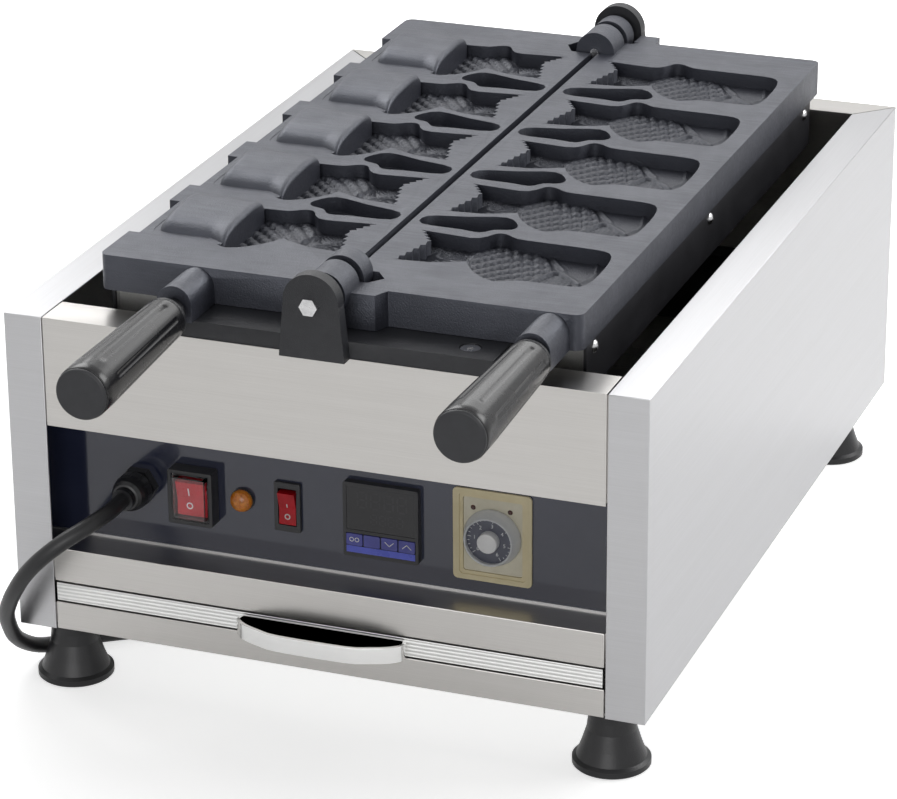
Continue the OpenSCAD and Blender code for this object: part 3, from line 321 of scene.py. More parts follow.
def clear_plastic(name, rough, through=1.0):
    material, tree, shader = new_material(name)
    surface = place_group(tree, GRAIN, Grain=300.0, Mottle=150.0, Depth=0.03)
    colour = ramp(tree, (0.86, 0.88, 0.9), (0.95, 0.96, 0.97), 0.3, 0.7)
    object_place(tree, surface.inputs["Vector"])
    wire(tree, (surface, "Mask", colour, 0), (colour, 0, shader, "Base Color"),
         (surface, "Normal", shader, "Normal"))
    set_inputs(shader, Roughness=rough, Transmission_Weight=through, IOR=1.45)
    return material


front_steel = brushed_sheet("front_steel", (LINE_LONG, LINE_FINE, LINE_FINE), (0.55, 0.535, 0.515),
                            (0.62, 0.605, 0.585), (0.27, 0.34), 0.3)
side_steel = side_sheet("side_steel", (0.53, 0.53, 0.54), (0.59, 0.59, 0.605), (0.28, 0.36))
inner_steel = brushed_sheet("inner_steel", (LINE_FINE, LINE_LONG, LINE_FINE), (0.42, 0.42, 0.41),
                            (0.55, 0.55, 0.54), (0.34, 0.46))
handle_steel = brushed_sheet("handle_steel", (20, 20, 2200), (0.84, 0.84, 0.83), (0.94, 0.94, 0.93),
                             (0.18, 0.26))
drawer_aluminium = rolled_aluminium("drawer_aluminium")
cast_black = worn_casting("cast_black", (0.018, 0.019, 0.026), (0.036, 0.038, 0.05), (0.36, 0.5), 0.55)
# Painted shade: a darker copy of the casting finish for the carved cavity floors, where the walls shade them
cast_painted_shade = worn_casting("cast_painted_shade", (0.014, 0.015, 0.02), (0.03, 0.031, 0.04), (0.36, 0.5), 0.7, 0.6)
beam_black = grained("beam_black", (0.016, 0.017, 0.021), (0.026, 0.027, 0.032), (0.4, 0.5), 1500, 80, 0.5)
skirt_black = grained("skirt_black", (0.014, 0.014, 0.017), (0.022, 0.022, 0.026), (0.4, 0.5), 1800, 40, 0.25)
grip_black = grained("grip_black", (0.008, 0.008, 0.01), (0.012, 0.012, 0.014), (0.24, 0.3), 900, 50, 0.05,
                     Coat_Weight=0.12, Coat_Roughness=0.12, Specular_IOR_Level=0.42)
cap_black = grained("cap_black", (0.026, 0.027, 0.031), (0.036, 0.037, 0.042), (0.42, 0.5), 2500, 90, 0.12)
plastic_black = grained("plastic_black", (0.012, 0.012, 0.014), (0.018, 0.018, 0.021), (0.28, 0.36), 2400,
                        90, 0.1)
foot_black = grained("foot_black", (0.011, 0.011, 0.013), (0.017, 0.017, 0.019), (0.3, 0.4), 900, 60, 0.2)
cord_black = grained("cord_black", (0.012, 0.012, 0.014), (0.018, 0.018, 0.02), (0.34, 0.42), 1600, 40, 0.12)
bright_zinc = grained("bright_zinc", (0.6, 0.6, 0.61), (0.74, 0.74, 0.75), (0.2, 0.32), 2400, 300, 0.15,
                      Metallic=1)
fascia_navy = grained("fascia_navy", (0.02, 0.024, 0.05), (0.028, 0.033, 0.064), (0.1, 0.14), 500, 12, 0.02,
                      Coat_Weight=0.6, Coat_Roughness=0.04)
rocker_red = grained("rocker_red", (0.5, 0.004, 0.012), (0.64, 0.008, 0.02), (0.2, 0.28), 900, 120, 0.05,
                     Subsurface_Weight=0.1, Subsurface_Scale=0.002, Specular_IOR_Level=0.3)
lens_amber = grained("lens_amber", (0.62, 0.16, 0.012), (0.9, 0.33, 0.03), (0.12, 0.2), 700, 420, 0.25,
                     Subsurface_Weight=0.3, Subsurface_Scale=0.003)
window_black = grained("window_black", (0.014, 0.014, 0.017), (0.02, 0.02, 0.024), (0.08, 0.12), 400, 20,
                       0.02)
timer_beige = grained("timer_beige", (0.7, 0.61, 0.38), (0.77, 0.68, 0.45), (0.34, 0.44), 1800, 60, 0.12)
dial_cream = grained("dial_cream", (0.66, 0.62, 0.49), (0.73, 0.69, 0.56), (0.36, 0.46), 1500, 90, 0.06)
key_blue = grained("key_blue", (0.075, 0.08, 0.36), (0.095, 0.1, 0.43), (0.22, 0.3), 1500, 80, 0.06)
ink_white = grained("ink_white", (0.78, 0.78, 0.78), (0.86, 0.86, 0.86), (0.4, 0.5), 1500, 80, 0.05)
element_steel = grained("element_steel", (0.07, 0.06, 0.055), (0.17, 0.14, 0.12), (0.35, 0.5), 1500, 90, 0.3,
                        Metallic=0.9)
board_pale = grained("board_pale", (0.62, 0.6, 0.54), (0.75, 0.73, 0.67), (0.8, 0.92), 700, 40, 0.6)
block_white = grained("block_white", (0.62, 0.62, 0.58), (0.72, 0.72, 0.68), (0.38, 0.48), 1500, 60, 0.1)
cover_clear = clear_plastic("cover_clear", 0.05)

FINISHES = (
    (side_steel, "left_side_panel right_side_panel"),
    (front_steel, "back_panel bottom_rail drawer_bar upper_front_panel"),
    (inner_steel, "base_pan drawer_runners heater_box drip_tray"),
    (handle_steel, "drawer_handle"),
    (drawer_aluminium, "drawer_front"),
    (fascia_navy, "control_fascia"),
    (foot_black, "front_left_foot front_right_foot rear_left_foot rear_right_foot"),
    (beam_black, "front_beam rear_beam left_stud right_stud"),
    (bright_zinc, "front_hinge_bolt rear_hinge_bolt screws thermocouple"),
    (board_pale, "insulation_board"),
    (element_steel, "left_element right_element"),
    (skirt_black, "left_skirt right_skirt"),
    (plastic_black, "cable_gland power_switch_frame alarm_switch_frame pilot_lamp_body controller_case"),
    (plastic_black, "buzzer plug"),
    (cover_clear, "power_switch_cover"),
    (lens_amber, "pilot_lamp_lens"),
    (window_black, "controller_window"),
    (timer_beige, "timer_case"),
    (dial_cream, "timer_dial"),
    (block_white, "contactor terminal_block timer_knob"),
    (cast_black, "left_mould right_mould mouth_cores"),
    (grip_black, "left_grip right_grip"),
    (cap_black, "left_grip_cap right_grip_cap"),
    (rocker_red, "power_rocker alarm_rocker"),
    (key_blue, "key_1 key_2 key_3 key_4"),
    (cord_black, "power_cord cord_coil"),
)
FINISH = {node: finish for finish, nodes in FINISHES for node in nodes.split()}


def dress(thing, material):
    thing.data.materials.clear()
    thing.data.materials.append(material)


for name, node in frame["nodes"].items():
    dress(node, FINISH[name])


def add_piece(name, mesh, material, body):
    piece = bpy.data.objects.new(name, mesh)
    bpy.context.scene.collection.objects.link(piece)
    dress(piece, material)
    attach(piece, body)
    return piece


# Mesh helpers

def mesh_data(mesh, name, sharp=None):
    """The mesh as it is kept. With a sharp angle it is smooth but for its sharper edges."""
    data = bpy.data.meshes.new(name)
    mesh.to_mesh(data)
    mesh.free()
    if sharp:
        data.shade_smooth()
        data.set_sharp_from_angle(angle=math.radians(sharp))
    return data


def closed_data(mesh, name, sharp=35):
    """The same for a closed mesh, with its faces turned outwards."""
    bmesh.ops.recalc_face_normals(mesh, faces=mesh.faces)
    return mesh_data(mesh, name, sharp)


def add_box(mesh, low, high, turn=None):
    """Box between two corners in the mesh's own unit, before the turn if there is one."""
    verts = bmesh.ops.create_cube(mesh, size=1)["verts"]
    low, high = Vector(low), Vector(high)
    bmesh.ops.scale(mesh, verts=verts, vec=high - low)
    bmesh.ops.translate(mesh, verts=verts, vec=(low + high) / 2)
    if turn:
        bmesh.ops.transform(mesh, verts=verts, matrix=turn)
    return verts


def bevel_edges(mesh, edges, offset, segments):
    bmesh.ops.bevel(mesh, geom=edges, offset=offset, offset_type="OFFSET", affect="EDGES", segments=segments,
                    profile=0.5, material=-1)


def spin(profile, steps=72):
    """Full turn of (radius, y) points round the Y axis."""
    mesh = bmesh.new()
    verts = [mesh.verts.new((r, y, 0)) for r, y in profile]
    edges = [mesh.edges.new(pair) for pair in zip(verts, verts[1:])]
    bmesh.ops.spin(mesh, geom=verts + edges, cent=(0, 0, 0), axis=(0, 1, 0), angle=2 * math.pi, steps=steps,
                   use_merge=True)
    bmesh.ops.remove_doubles(mesh, verts=mesh.verts, dist=1e-4)
    return mesh


def copy_in(mesh, data):
    """Add a finished mesh to another one, and give its new vertices."""
    first = len(mesh.verts)
    mesh.from_mesh(data)
    mesh.verts.ensure_lookup_table()
    return mesh.verts[first:]


def drop_rim(mesh, z):
    """Walls from the open rims down to z, and the edges of the rims that are open then."""
    rim = [edge for edge in mesh.edges if edge.is_boundary]
    wall = bmesh.ops.extrude_edge_only(mesh, edges=rim)["geom"]
    for vert in wall:
        if isinstance(vert, bmesh.types.BMVert):
            vert.co.z = z
    return [edge for edge in mesh.edges if edge.is_boundary]


def eased(value, low, high):
    """From 0 at low to 1 at high, without a corner."""
    t = min(1.0, max(0.0, (value - low) / (high - low)))
    return t * t * (3 - 2 * t)


# Cord: out of the gland, down and under the cabinet, and a coil on the floor behind it

CORD = 10.0
CONTROLS_Z = 94.8
GLAND = (-131.0, 0.0, CONTROLS_Z)
HANG = [
    (-132, -18, 133), (-138, -34, 130), (-149, -45, 123), (-162, -50, 112), (-174, -49, 99), (-184, -44, 85),
    (-193, -36, 71), (-200, -27, 58), (-205, -15, 44), (-208, -3, 31), (-209, 11, 20), (-207, 26, 11),
    (-202, 41, 6), (-191, 55, 5), (-177, 66, 5), (-162, 76, 5), (-147, 85, 5), (-133, 97, 5), (-121, 110, 5),
    (-112, 125, 5), (-105, 142, 5), (-94, 176, 5), (-86, 211, 5), (-79, 247, 5), (-73, 282, 5), (-68, 318, 5),
    (-62, 372, 5), (-57, 444, 5), (-54, 534, 5), (-54, 600, 5), (-54, 644, 5), (-54, 654, 5)]
CORD_LIFT = 0.2
LOOPS = 2
COIL_OUTER = 66.0
COIL_STEP = 11.0
COIL_LAYER = 12.0
TURN_STEPS = 24
COIL_FINE = 2  # Points to each step of a turn


def through(points, steps):
    """Points along a smooth curve through the given ones."""
    line = []
    for i in range(len(points) - 1):
        p0 = points[max(i - 1, 0)]
        p1, p2 = points[i], points[i + 1]
        p3 = points[min(i + 2, len(points) - 1)]
        for k in range(steps):
            t = k / steps
            line.append(0.5 * (2 * p1 + (p2 - p0) * t + (2 * p0 - 5 * p1 + 4 * p2 - p3) * t * t
                               + (3 * p1 - p0 - 3 * p2 + p3) * t * t * t))
    return line + [points[-1]]


def cord_points():
    """Points of the cord in the cabinet's millimetres, and the middle of its coil."""
    low = CORD / 2 + CORD_LIFT
    route = [Vector(GLAND), Vector((GLAND[0], -8, GLAND[2]))]
    route += [Vector((x, y, -FOOT + max(z, low))) for x, y, z in HANG]
    hang = [Vector((p.x, p.y, max(p.z, -FOOT + low))) for p in through(route, 3)]
    end = route[-1]
    centre = end + Vector((COIL_OUTER, CORD, 0))
    total = 2 * LOOPS * TURN_STEPS
    coil = [end + Vector((0, CORD, 0))]
    for k in range(COIL_FINE, total * COIL_FINE):
        i = k / COIL_FINE
        a = math.radians(180 - 360 * i / TURN_STEPS)
        reach = COIL_OUTER - COIL_STEP * (LOOPS - abs(i - total / 2) / TURN_STEPS)
        lift = COIL_LAYER * min(1, max(0, (i - total / 2) / (TURN_STEPS / 2) + 0.5))
        coil.append(centre + Vector((reach * math.cos(a), reach * math.sin(a), lift)))
    last = centre + Vector((-COIL_OUTER, 0, COIL_LAYER))
    coil += [last + Vector((0, back, 0)) for back in (5, 15, 20)]
    return hang + coil, centre


def add_cord():
    points, centre = cord_points()
    data = bpy.data.curves.new("supply_cord", "CURVE")
    data.dimensions = "3D"
    data.bevel_depth = CORD / 2000
    data.bevel_resolution = 5
    data.use_fill_caps = True
    line = data.splines.new("POLY")
    line.points.add(len(points) - 1)
    placed = [at(*p) for p in points]
    for point, place in zip(line.points, placed):
        point.co = (*place, 1)
    line.use_smooth = True
    cord = bpy.data.objects.new("supply_cord", data)
    bpy.context.scene.collection.objects.link(cord)
    dress(cord, cord_black)
    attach(cord, "cabinet")
    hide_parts("power_cord", "cord_coil")
    long = sum((b - a).length for a, b in zip(placed, placed[1:]))
    return cord, placed[0], long, centre


cord, cord_exit, cord_length, coil_centre = add_cord()


def add_tie():
    """Strap round the coil's turns, with its buckle on top."""
    middle = at(*coil_centre)
    room = CORD / 2 + 0.4
    left = middle.x + (COIL_OUTER - 2 * COIL_STEP - room) / 1000
    right = middle.x + (COIL_OUTER + room) / 1000
    low, high = 0.0003, (CORD_LIFT + CORD + COIL_LAYER + 0.6) / 1000
    half, bend, thick = 0.004, 0.0045, 0.0011
    mesh = bmesh.new()
    add_box(mesh, (left, middle.y - half, low), (right, middle.y + half, high))
    along_y = [edge for edge in mesh.edges if abs(edge.verts[0].co.y - edge.verts[1].co.y) > half]
    bevel_edges(mesh, along_y, bend, 5)
    ends = [face for face in mesh.faces if abs(face.normal.y) > 0.9]
    bmesh.ops.delete(mesh, geom=ends, context="FACES_ONLY")
    bmesh.ops.solidify(mesh, geom=mesh.faces[:], thickness=thick)
    size, top = Vector((0.012, 0.0105, 0.004)), Vector((middle.x + 0.058, middle.y, high + 0.001))
    buckle = add_box(mesh, top - size / 2, top + size / 2)
    bevel_edges(mesh, list({edge for vert in buckle for edge in vert.link_edges}), 0.001, 2)
    return add_piece("cord_tie", mesh_data(mesh, "cord_tie"), plastic_black, "cabinet")


cord_tie = add_tie()
print("cord length", cord_length)


# Edges: a cast, folded or moulded piece has no knife edges

EASED_TURN, EASED_SMOOTH = 35.0, 30.0  # Degrees: sharper edges are eased, and stay sharp in the shading

# Fish along each half: their number, spacing and first middle, and the teeth round the tail
FISH_COUNT = 5
FISH_PITCH = 91.0
FISH_FIRST = 106.0
TEETH = [((14.6, 28.8), (25.2, 10.7), 4), ((25.2, 10.7), (16.3, -24.6), 5)]
TOOTH_HIGH = 1.2
TOOTH_PEAK = 0.75
TOOTH_MORE = 1.5
TOOTH_NEAR = 5e-5


def deepen_teeth(mesh):
    """Move the points of the tail's teeth farther into the mould."""
    tips = []
    for (u0, v0), (u1, v1), count in TEETH:
        long = math.hypot(u1 - u0, v1 - v0)
        out = ((v0 - v1) / long, (u1 - u0) / long)
        for i in range(count):
            t = (i + TOOTH_PEAK) / count
            u = u0 + (u1 - u0) * t + TOOTH_HIGH * out[0]
            v = v0 + (v1 - v0) * t + TOOTH_HIGH * out[1]
            tips.append((u, v, out))
    for vert in mesh.verts:
        side = 1 if vert.co.x > 0 else -1
        for i in range(FISH_COUNT):
            for u, v, out in tips:
                place = at(side * u, FISH_FIRST + FISH_PITCH * i + v, 0)
                if max(abs(vert.co.x - place.x), abs(vert.co.y - place.y)) < TOOTH_NEAR:
                    vert.co.x += side * out[0] * TOOTH_MORE / 1000
                    vert.co.y += out[1] * TOOTH_MORE / 1000


def soften(node, width):
    """The CAD piece with its edges eased by a bevel, in the CAD piece's place."""
    source = frame["nodes"][node]
    mesh = bmesh.new()
    mesh.from_mesh(source.data)
    bmesh.ops.remove_doubles(mesh, verts=mesh.verts, dist=2e-6)
    if node in ("left_mould", "right_mould"):
        deepen_teeth(mesh)
    bmesh.ops.dissolve_limit(mesh, angle_limit=math.radians(0.6), verts=mesh.verts, edges=mesh.edges,
                             use_dissolve_boundaries=False)
    data = mesh_data(mesh, node + "_eased", EASED_SMOOTH)
    piece = add_piece(node + "_eased", data, FINISH[node], body_of(source)[0])
    bevel = piece.modifiers.new("eased", "BEVEL")
    bevel.width = width / 1000
    bevel.segments = 2
    bevel.limit_method = "ANGLE"
    bevel.angle_limit = math.radians(EASED_TURN)
    bevel.use_clamp_overlap = True
    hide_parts(node)


EASED = {
    "left_side_panel": 0.5, "right_side_panel": 0.5, "upper_front_panel": 0.5, "drawer_bar": 0.5,
    "bottom_rail": 0.5, "drawer_front": 0.4, "front_beam": 1.2, "rear_beam": 1.2, "timer_case": 0.5,
    "power_switch_frame": 0.6, "alarm_switch_frame": 0.4, "left_skirt": 0.5, "right_skirt": 0.5,
    "left_mould": 0.45, "right_mould": 0.45, "drawer_handle": 0.5, "heater_box": 0.3,
    "left_grip_cap": 0.6, "right_grip_cap": 0.6,
}
for name, width in EASED.items():
    soften(name, width)


# Grips: tapered bars with eight shallow flutes, drawn round so that they shine evenly

GRIP_FRONT, GRIP_AXIS_Z = -4.0, 226.0
GRIP_LONG = 112.0
GRIP_BORE, GRIP_NECK, GRIP_END = 5.1, 13.5, 16.25
GRIP_SHAPE = [(0.0, GRIP_NECK - 1), (0.35, GRIP_NECK - 0.35), (1.0, GRIP_NECK), (GRIP_LONG - 15, GRIP_END),
              (GRIP_LONG - 1.2, GRIP_END), (GRIP_LONG - 0.35, GRIP_END - 0.35), (GRIP_LONG, GRIP_END - 1.2)]
GRIP_STATIONS = [0, 0.35, 1, 3, 7.2, 8, 9, 10.5, 20, 35, 50, 65, 80, 90, 92, 93.5, 94.5, 95.5, 97, 99, 105,
                 110.8, 111.3, 111.65, 112]
FLUTES, FLUTE_R, FLUTE_OUT = 8, 4.0, 3.4
FLUTE_START, FLUTE_FULL, FLUTE_END, FLUTE_RUNOUT = 7.2, 10.5, 97.0, 4.0


def grip_radius(z):
    for (z0, r0), (z1, r1) in zip(GRIP_SHAPE, GRIP_SHAPE[1:]):
        if z <= z1:
            return r0 + (r1 - r0) * (z - z0) / (z1 - z0)
    return GRIP_SHAPE[-1][1]


def fluted_radius(z, angle):
    radius = grip_radius(z)
    step = 2 * math.pi / FLUTES
    off = (angle % step) - step / 2
    centre = radius + FLUTE_OUT
    reach = FLUTE_R ** 2 - (centre * math.sin(off)) ** 2
    if reach <= 0:
        return radius
    cut = max(0.0, radius - (centre * math.cos(off) - math.sqrt(reach)))
    return radius - cut * eased(z, FLUTE_START, FLUTE_FULL) * eased(FLUTE_END - z, 0.0, FLUTE_RUNOUT)


def add_grip(node, x, gap, droop):
    """Grip at x, set forward by a gap and drooping by some degrees."""
    outside = [(grip_radius(z), -z) for z in GRIP_STATIONS]
    bore = [(GRIP_BORE, -GRIP_LONG), (GRIP_BORE, 0.0)]
    mesh = spin(outside + bore + outside[:1], 24 * FLUTES)
    lean = math.radians(droop)
    for vert in mesh.verts:
        radius, angle = math.hypot(vert.co.x, vert.co.z), math.atan2(vert.co.x, vert.co.z)
        if radius > GRIP_BORE + 1:
            radius = fluted_radius(-vert.co.y, angle)
        back, up = vert.co.y - gap, radius * math.cos(angle)
        y = back * math.cos(lean) - up * math.sin(lean)
        rise = back * math.sin(lean) + up * math.cos(lean)
        vert.co = at(x + radius * math.sin(angle), GRIP_FRONT + y, GRIP_AXIS_Z + rise)
    name, body = node + "_fluted", body_of(frame["nodes"][node])[0]
    piece = add_piece(name, closed_data(mesh, name, 40), grip_black, body)
    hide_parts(node)


# Measures of the mouth cores: tapered half barrels that stand in the mouths of the left half's fish

CORE_IN, CORE_OUT, CORE_BEND = 90.0, 137.0, 102.0
CORE_BACK, CORE_FRONT, CORE_FRONT_IN = 28.0, -27.0, -35.0
CORE_HIGH_IN, CORE_HIGH_OUT = 19.6, 21.0
CORE_ARCH = [(0.0, 0.5), (0.03, 0.63), (0.08, 0.745), (0.15, 0.83), (0.25, 0.9), (0.4, 0.955), (0.6, 0.99),
             (0.75, 1.0), (0.86, 0.975), (0.94, 0.92), (0.985, 0.86), (1.0, 0.78)]
CORE_SIDE_R, CORE_SIDE_DROP = 9.0, 5.0
CORE_IN_R, CORE_IN_DROP = 4.0, 3.4
CORE_OUT_R, CORE_OUT_DROP = 6.0, 5.0
CORE_FOOT_OUT, CORE_FOOT_IN, CORE_FOOT_FRONT, CORE_FOOT_BACK = 142.6, 91.5, -36.0, 32.6
CORE_SUNK = 1.2
SHUT_ROOM = 22.8  # Between the two cavity floors when the halves are shut
SHUT_CLEAR = 0.25


def rounded(distance, radius, rise):
    """Drop of a rounded edge at a distance from it."""
    if distance >= radius:
        return 0.0
    t = 1 - max(0.0, distance) / radius
    return rise * (1 - math.sqrt(max(0.0, 1 - t * t)))


def along(table, t):
    """Smooth value at t, from a table of (t, value)."""
    last = len(table) - 1
    i = max(k for k in range(last) if table[k][0] <= t)
    (t0, h0), (t1, h1) = table[i], table[i + 1]
    before, after = table[max(i - 1, 0)], table[min(i + 2, last)]
    m0 = (h1 - before[1]) / (t1 - before[0])
    m1 = (after[1] - h0) / (after[0] - t0)
    w, f = t1 - t0, (t - t0) / (t1 - t0)
    return ((2 * f ** 3 - 3 * f * f + 1) * h0 + (f ** 3 - 2 * f * f + f) * w * m0
            + (3 * f * f - 2 * f ** 3) * h1 + (f ** 3 - f * f) * w * m1)


def core_width(u):
    """Front and back of a core at u."""
    lean = max(0.0, (CORE_BEND - u) / (CORE_BEND - CORE_IN))
    drawn_in = rounded(CORE_OUT - u, CORE_SIDE_R, CORE_SIDE_DROP)
    return CORE_FRONT + (CORE_FRONT_IN - CORE_FRONT) * lean, CORE_BACK - drawn_in


def core_height(u, v):
    """Top of a core over the cavity's flat floor, or nothing outside it."""
    front, back = core_width(min(CORE_OUT, max(CORE_IN, u)))
    if not (CORE_IN - 1 < u < CORE_OUT + 1 and front - 1 < v < back + 1):
        return 0.0
    s = min(1.0, max(0.0, (u - CORE_IN) / (CORE_OUT - CORE_IN)))
    t = min(1.0, max(0.0, (v - front) / (back - front)))
    high = CORE_HIGH_IN + (CORE_HIGH_OUT - CORE_HIGH_IN) * s
    return (high * along(CORE_ARCH, t) - rounded(u - CORE_IN, CORE_IN_R, CORE_IN_DROP)
            - rounded(CORE_OUT - u, CORE_OUT_R, CORE_OUT_DROP))


# Fish carved in the cavity floors, drawn for the right half and mirrored for the left

MATE_Z = 242.0
FISH_FLOOR = MATE_Z - 11.0
CARVED = (14.0, 143.0, -41.0, 41.0)
GRID = 1.0
CARVING_FOOT = -3.0
GROUND = 0.3
DISH_AT = (84.0, -1.0)
DISH_R = 30.0
DISH_DEEP = 1.5
RELIEF_LIMITS = [
    (14, -28, 31), (25, -25, 30), (40, -24, 28), (50, -20, 28), (56, -18, 33), (62, -22, 40), (68, -28, 40),
    (76, -36, 36), (84, -41, 34), (90, -41, 34), (100, -36, 34), (118, -35, 34), (134, -34, 32),
    (143, -28, 28)]
SCALE_COLUMNS = [50.2, 54.8, 59.4, 64, 68.6, 74.3, 80.6, 86.9, 93.7, 100.4, 107]
SCALE_LEAN, SCALE_LEVEL = -0.36, 18.0
SCALE_ROW = 8.4
SCALE_HALF_U, SCALE_HALF_V, SCALE_REACH = 4.3, 5.0, 7.0
SCALE_HIGH, SCALE_TILT = 2.7, 0.9
TAIL_END, HEAD_START = 54.0, 96.0
RAY_CENTRE, RAY_STEP, RAY_HIGH = (66.0, 8.0), 3.0, 1.5
CHEEK_AT, CHEEK_LEAN, CHEEK_HIGH = (116.0, 6.0), 0.66, 0.9
SCALE_EDGE = [(106.5, 9), (103, 17), (99, 24), (93, 33), (88, 36), (70, 37), (62, 37.5), (55, 32), (51, 23),
              (52.6, 12), (57, -2), (64, -14), (74, -28), (84, -37), (92, -36), (99, -22), (101, -8),
              (103, 2)]
FIN_RIDGE = [(96, -14), (99.9, -6), (103, 3.4), (106.8, 9.6), (111.5, 9.6), (116.3, 6), (122, 1), (128, -5)]
GILL = [(94.9, 37.8), (98.5, 33), (101.7, 28), (106, 22), (111, 15.5), (116, 6.5)]
JAW = [(127, 34), (129.5, 25), (131.5, 16), (131, 6), (128, -3)]
CREST = [(51.5, 15), (50.8, 23), (53.5, 30), (60, 35), (68, 35.5), (76, 33)]
EYE, EYE_R, EYE_HALF = (124.0, -10.0), 2.4, 1.2


def between(table, u):
    """Low and high limit at u, from a table of (u, low, high)."""
    for (u0, low0, high0), (u1, low1, high1) in zip(table, table[1:]):
        if u <= u1:
            t = (u - u0) / (u1 - u0)
            return low0 + (low1 - low0) * t, high0 + (high1 - high0) * t
    return table[-1][1:]


def inside(outline, u, v):
    """Signed distance to an outline, positive inside it."""
    near = 1e9
    odd = False
    for (u0, v0), (u1, v1) in zip(outline, outline[1:] + outline[:1]):
        if (v0 > v) != (v1 > v) and u < (u1 - u0) * (v - v0) / (v1 - v0) + u0:
            odd = not odd
        near = min(near, away_from(u0, v0, u1, v1, u, v))
    return near if odd else -near


def away_from(u0, v0, u1, v1, u, v):
    du, dv = u1 - u0, v1 - v0
    t = min(1, max(0, ((u - u0) * du + (v - v0) * dv) / (du * du + dv * dv)))
    return math.hypot(u - u0 - t * du, v - v0 - t * dv)


def ridge(line, u, v, half, high):
    """Round ridge along a line."""
    near = min(away_from(*a, *b, u, v) for a, b in zip(line, line[1:]))
    return high * max(0.0, 1 - (near / half) ** 2) ** 0.5


def scales(u, v):
    """Overlapping scales in leaning columns, every other column half a row up."""
    best = 0.0
    for k, column in enumerate(SCALE_COLUMNS):
        if abs(u - column - SCALE_LEAN * (v - SCALE_LEVEL)) > SCALE_REACH:
            continue
        shift = (k % 2) * SCALE_ROW / 2
        row = round((v - shift) / SCALE_ROW)
        for j in (row - 1, row, row + 1):
            middle_v = j * SCALE_ROW + shift
            middle_u = column + SCALE_LEAN * (middle_v - SCALE_LEVEL)
            du = (u - middle_u) / SCALE_HALF_U
            dv = (v - middle_v) / SCALE_HALF_V
            dome = 1 - du * du - dv * dv
            if dome > 0:
                # Each scale is highest towards the head
                best = max(best, dome ** 0.6 * (SCALE_HIGH + SCALE_TILT * du))
    return best


def relief(u, v, side):
    """Height of the carving over the flat floor. The right half's clears the core that folds onto it."""
    reach = math.hypot(u - DISH_AT[0], v - DISH_AT[1]) / DISH_R
    ground = GROUND - (DISH_DEEP * (1 - reach * reach) if reach < 1 else 0.0)
    scaled = inside(SCALE_EDGE, u, v)
    height = 0.0
    if scaled > -1.0:
        height = scales(u, v) * eased(scaled, -1.0, 1.0) + 0.5 * eased(scaled, -1.0, 3.0)
    if u < TAIL_END:
        spoke = math.degrees(math.atan2(v - RAY_CENTRE[1], RAY_CENTRE[0] - u))
        rays = 0.5 + 0.5 * math.cos(math.radians(spoke * 360 / RAY_STEP))
        height = max(height, RAY_HIGH * rays * eased(TAIL_END - u, 0.0, 5.0))
    if u > HEAD_START:
        cheek = eased(u - (CHEEK_AT[0] - (v - CHEEK_AT[1]) * CHEEK_LEAN), -2.0, 5.0)
        height = max(height, CHEEK_HIGH * cheek * (1 - 0.35 * eased(u, 129.0, 133.0)))
        height = max(height, ridge(FIN_RIDGE, u, v, 2.1, 2.6))
        if scaled < 0 and v < 7.0 and u < 122.0:
            # Ripples beside the fin
            height = max(height, 0.9 * (0.5 + 0.5 * math.cos((u * 0.3 + v) * 2.1)))
    height = max(height, ridge(GILL, u, v, 1.6, 1.9), ridge(JAW, u, v, 1.2, 1.9))
    knobs = 0.75 + 0.25 * math.cos((u + v) * 1.1)
    height = max(height, ridge(CREST, u, v, 2.4, 2.3 * knobs))
    ring = abs(math.hypot(u - EYE[0], v - EYE[1]) - EYE_R)
    if ring < EYE_HALF:
        height = max(height, 0.9 + (1 - (ring / EYE_HALF) ** 2) ** 0.5)
    if u < 70.0 and v < -20.0:
        # The corner beside the tail stays low
        height = min(height, 0.6)
    if side > 0:
        return min(ground + height, SHUT_ROOM - core_height(u, v) - SHUT_CLEAR)
    return ground + height


def fish_mesh(name, side):
    """One fish carved on a grid and walled down into the floor, then copied along the half."""
    mesh = bmesh.new()
    u0, u1, v0, v1 = CARVED
    bmesh.ops.create_grid(mesh, x_segments=int((u1 - u0) / GRID), y_segments=int((v1 - v0) / GRID), size=0.5)
    for vert in mesh.verts:
        vert.co = Vector((u0 + (vert.co.x + 0.5) * (u1 - u0), v0 + (vert.co.y + 0.5) * (v1 - v0), 0))
    outside = []
    for face in mesh.faces:
        u, v, _ = face.calc_center_median()
        low, high = between(RELIEF_LIMITS, u)
        if not low < v < high:
            outside.append(face)
    bmesh.ops.delete(mesh, geom=outside, context="FACES")
    for vert in mesh.verts:
        vert.co.z = relief(vert.co.x, vert.co.y, side)
    bmesh.ops.contextual_create(mesh, geom=drop_rim(mesh, CARVING_FOOT))
    one = mesh_data(mesh, name + "_one")
    mesh = bmesh.new()
    for i in range(FISH_COUNT):
        for vert in copy_in(mesh, one):
            u, v, h = vert.co
            vert.co = at(side * u, FISH_FIRST + FISH_PITCH * i + v, FISH_FLOOR + h)
    if side < 0:
        bmesh.ops.reverse_faces(mesh, faces=mesh.faces[:])
    bpy.data.meshes.remove(one)
    return mesh_data(mesh, name, 60)


# The carvings take the darker casting finish, which is painted shade
for name, side in (("right", 1), ("left", -1)):
    add_piece(name + "_fish", fish_mesh(name + "_fish", side), cast_painted_shade, name + "_half")


add_grip("left_grip", -89.5, 13.5, 1.9)
add_grip("right_grip", 135.0, 5.0, 0.5)


# Mouth cores, each on a foot

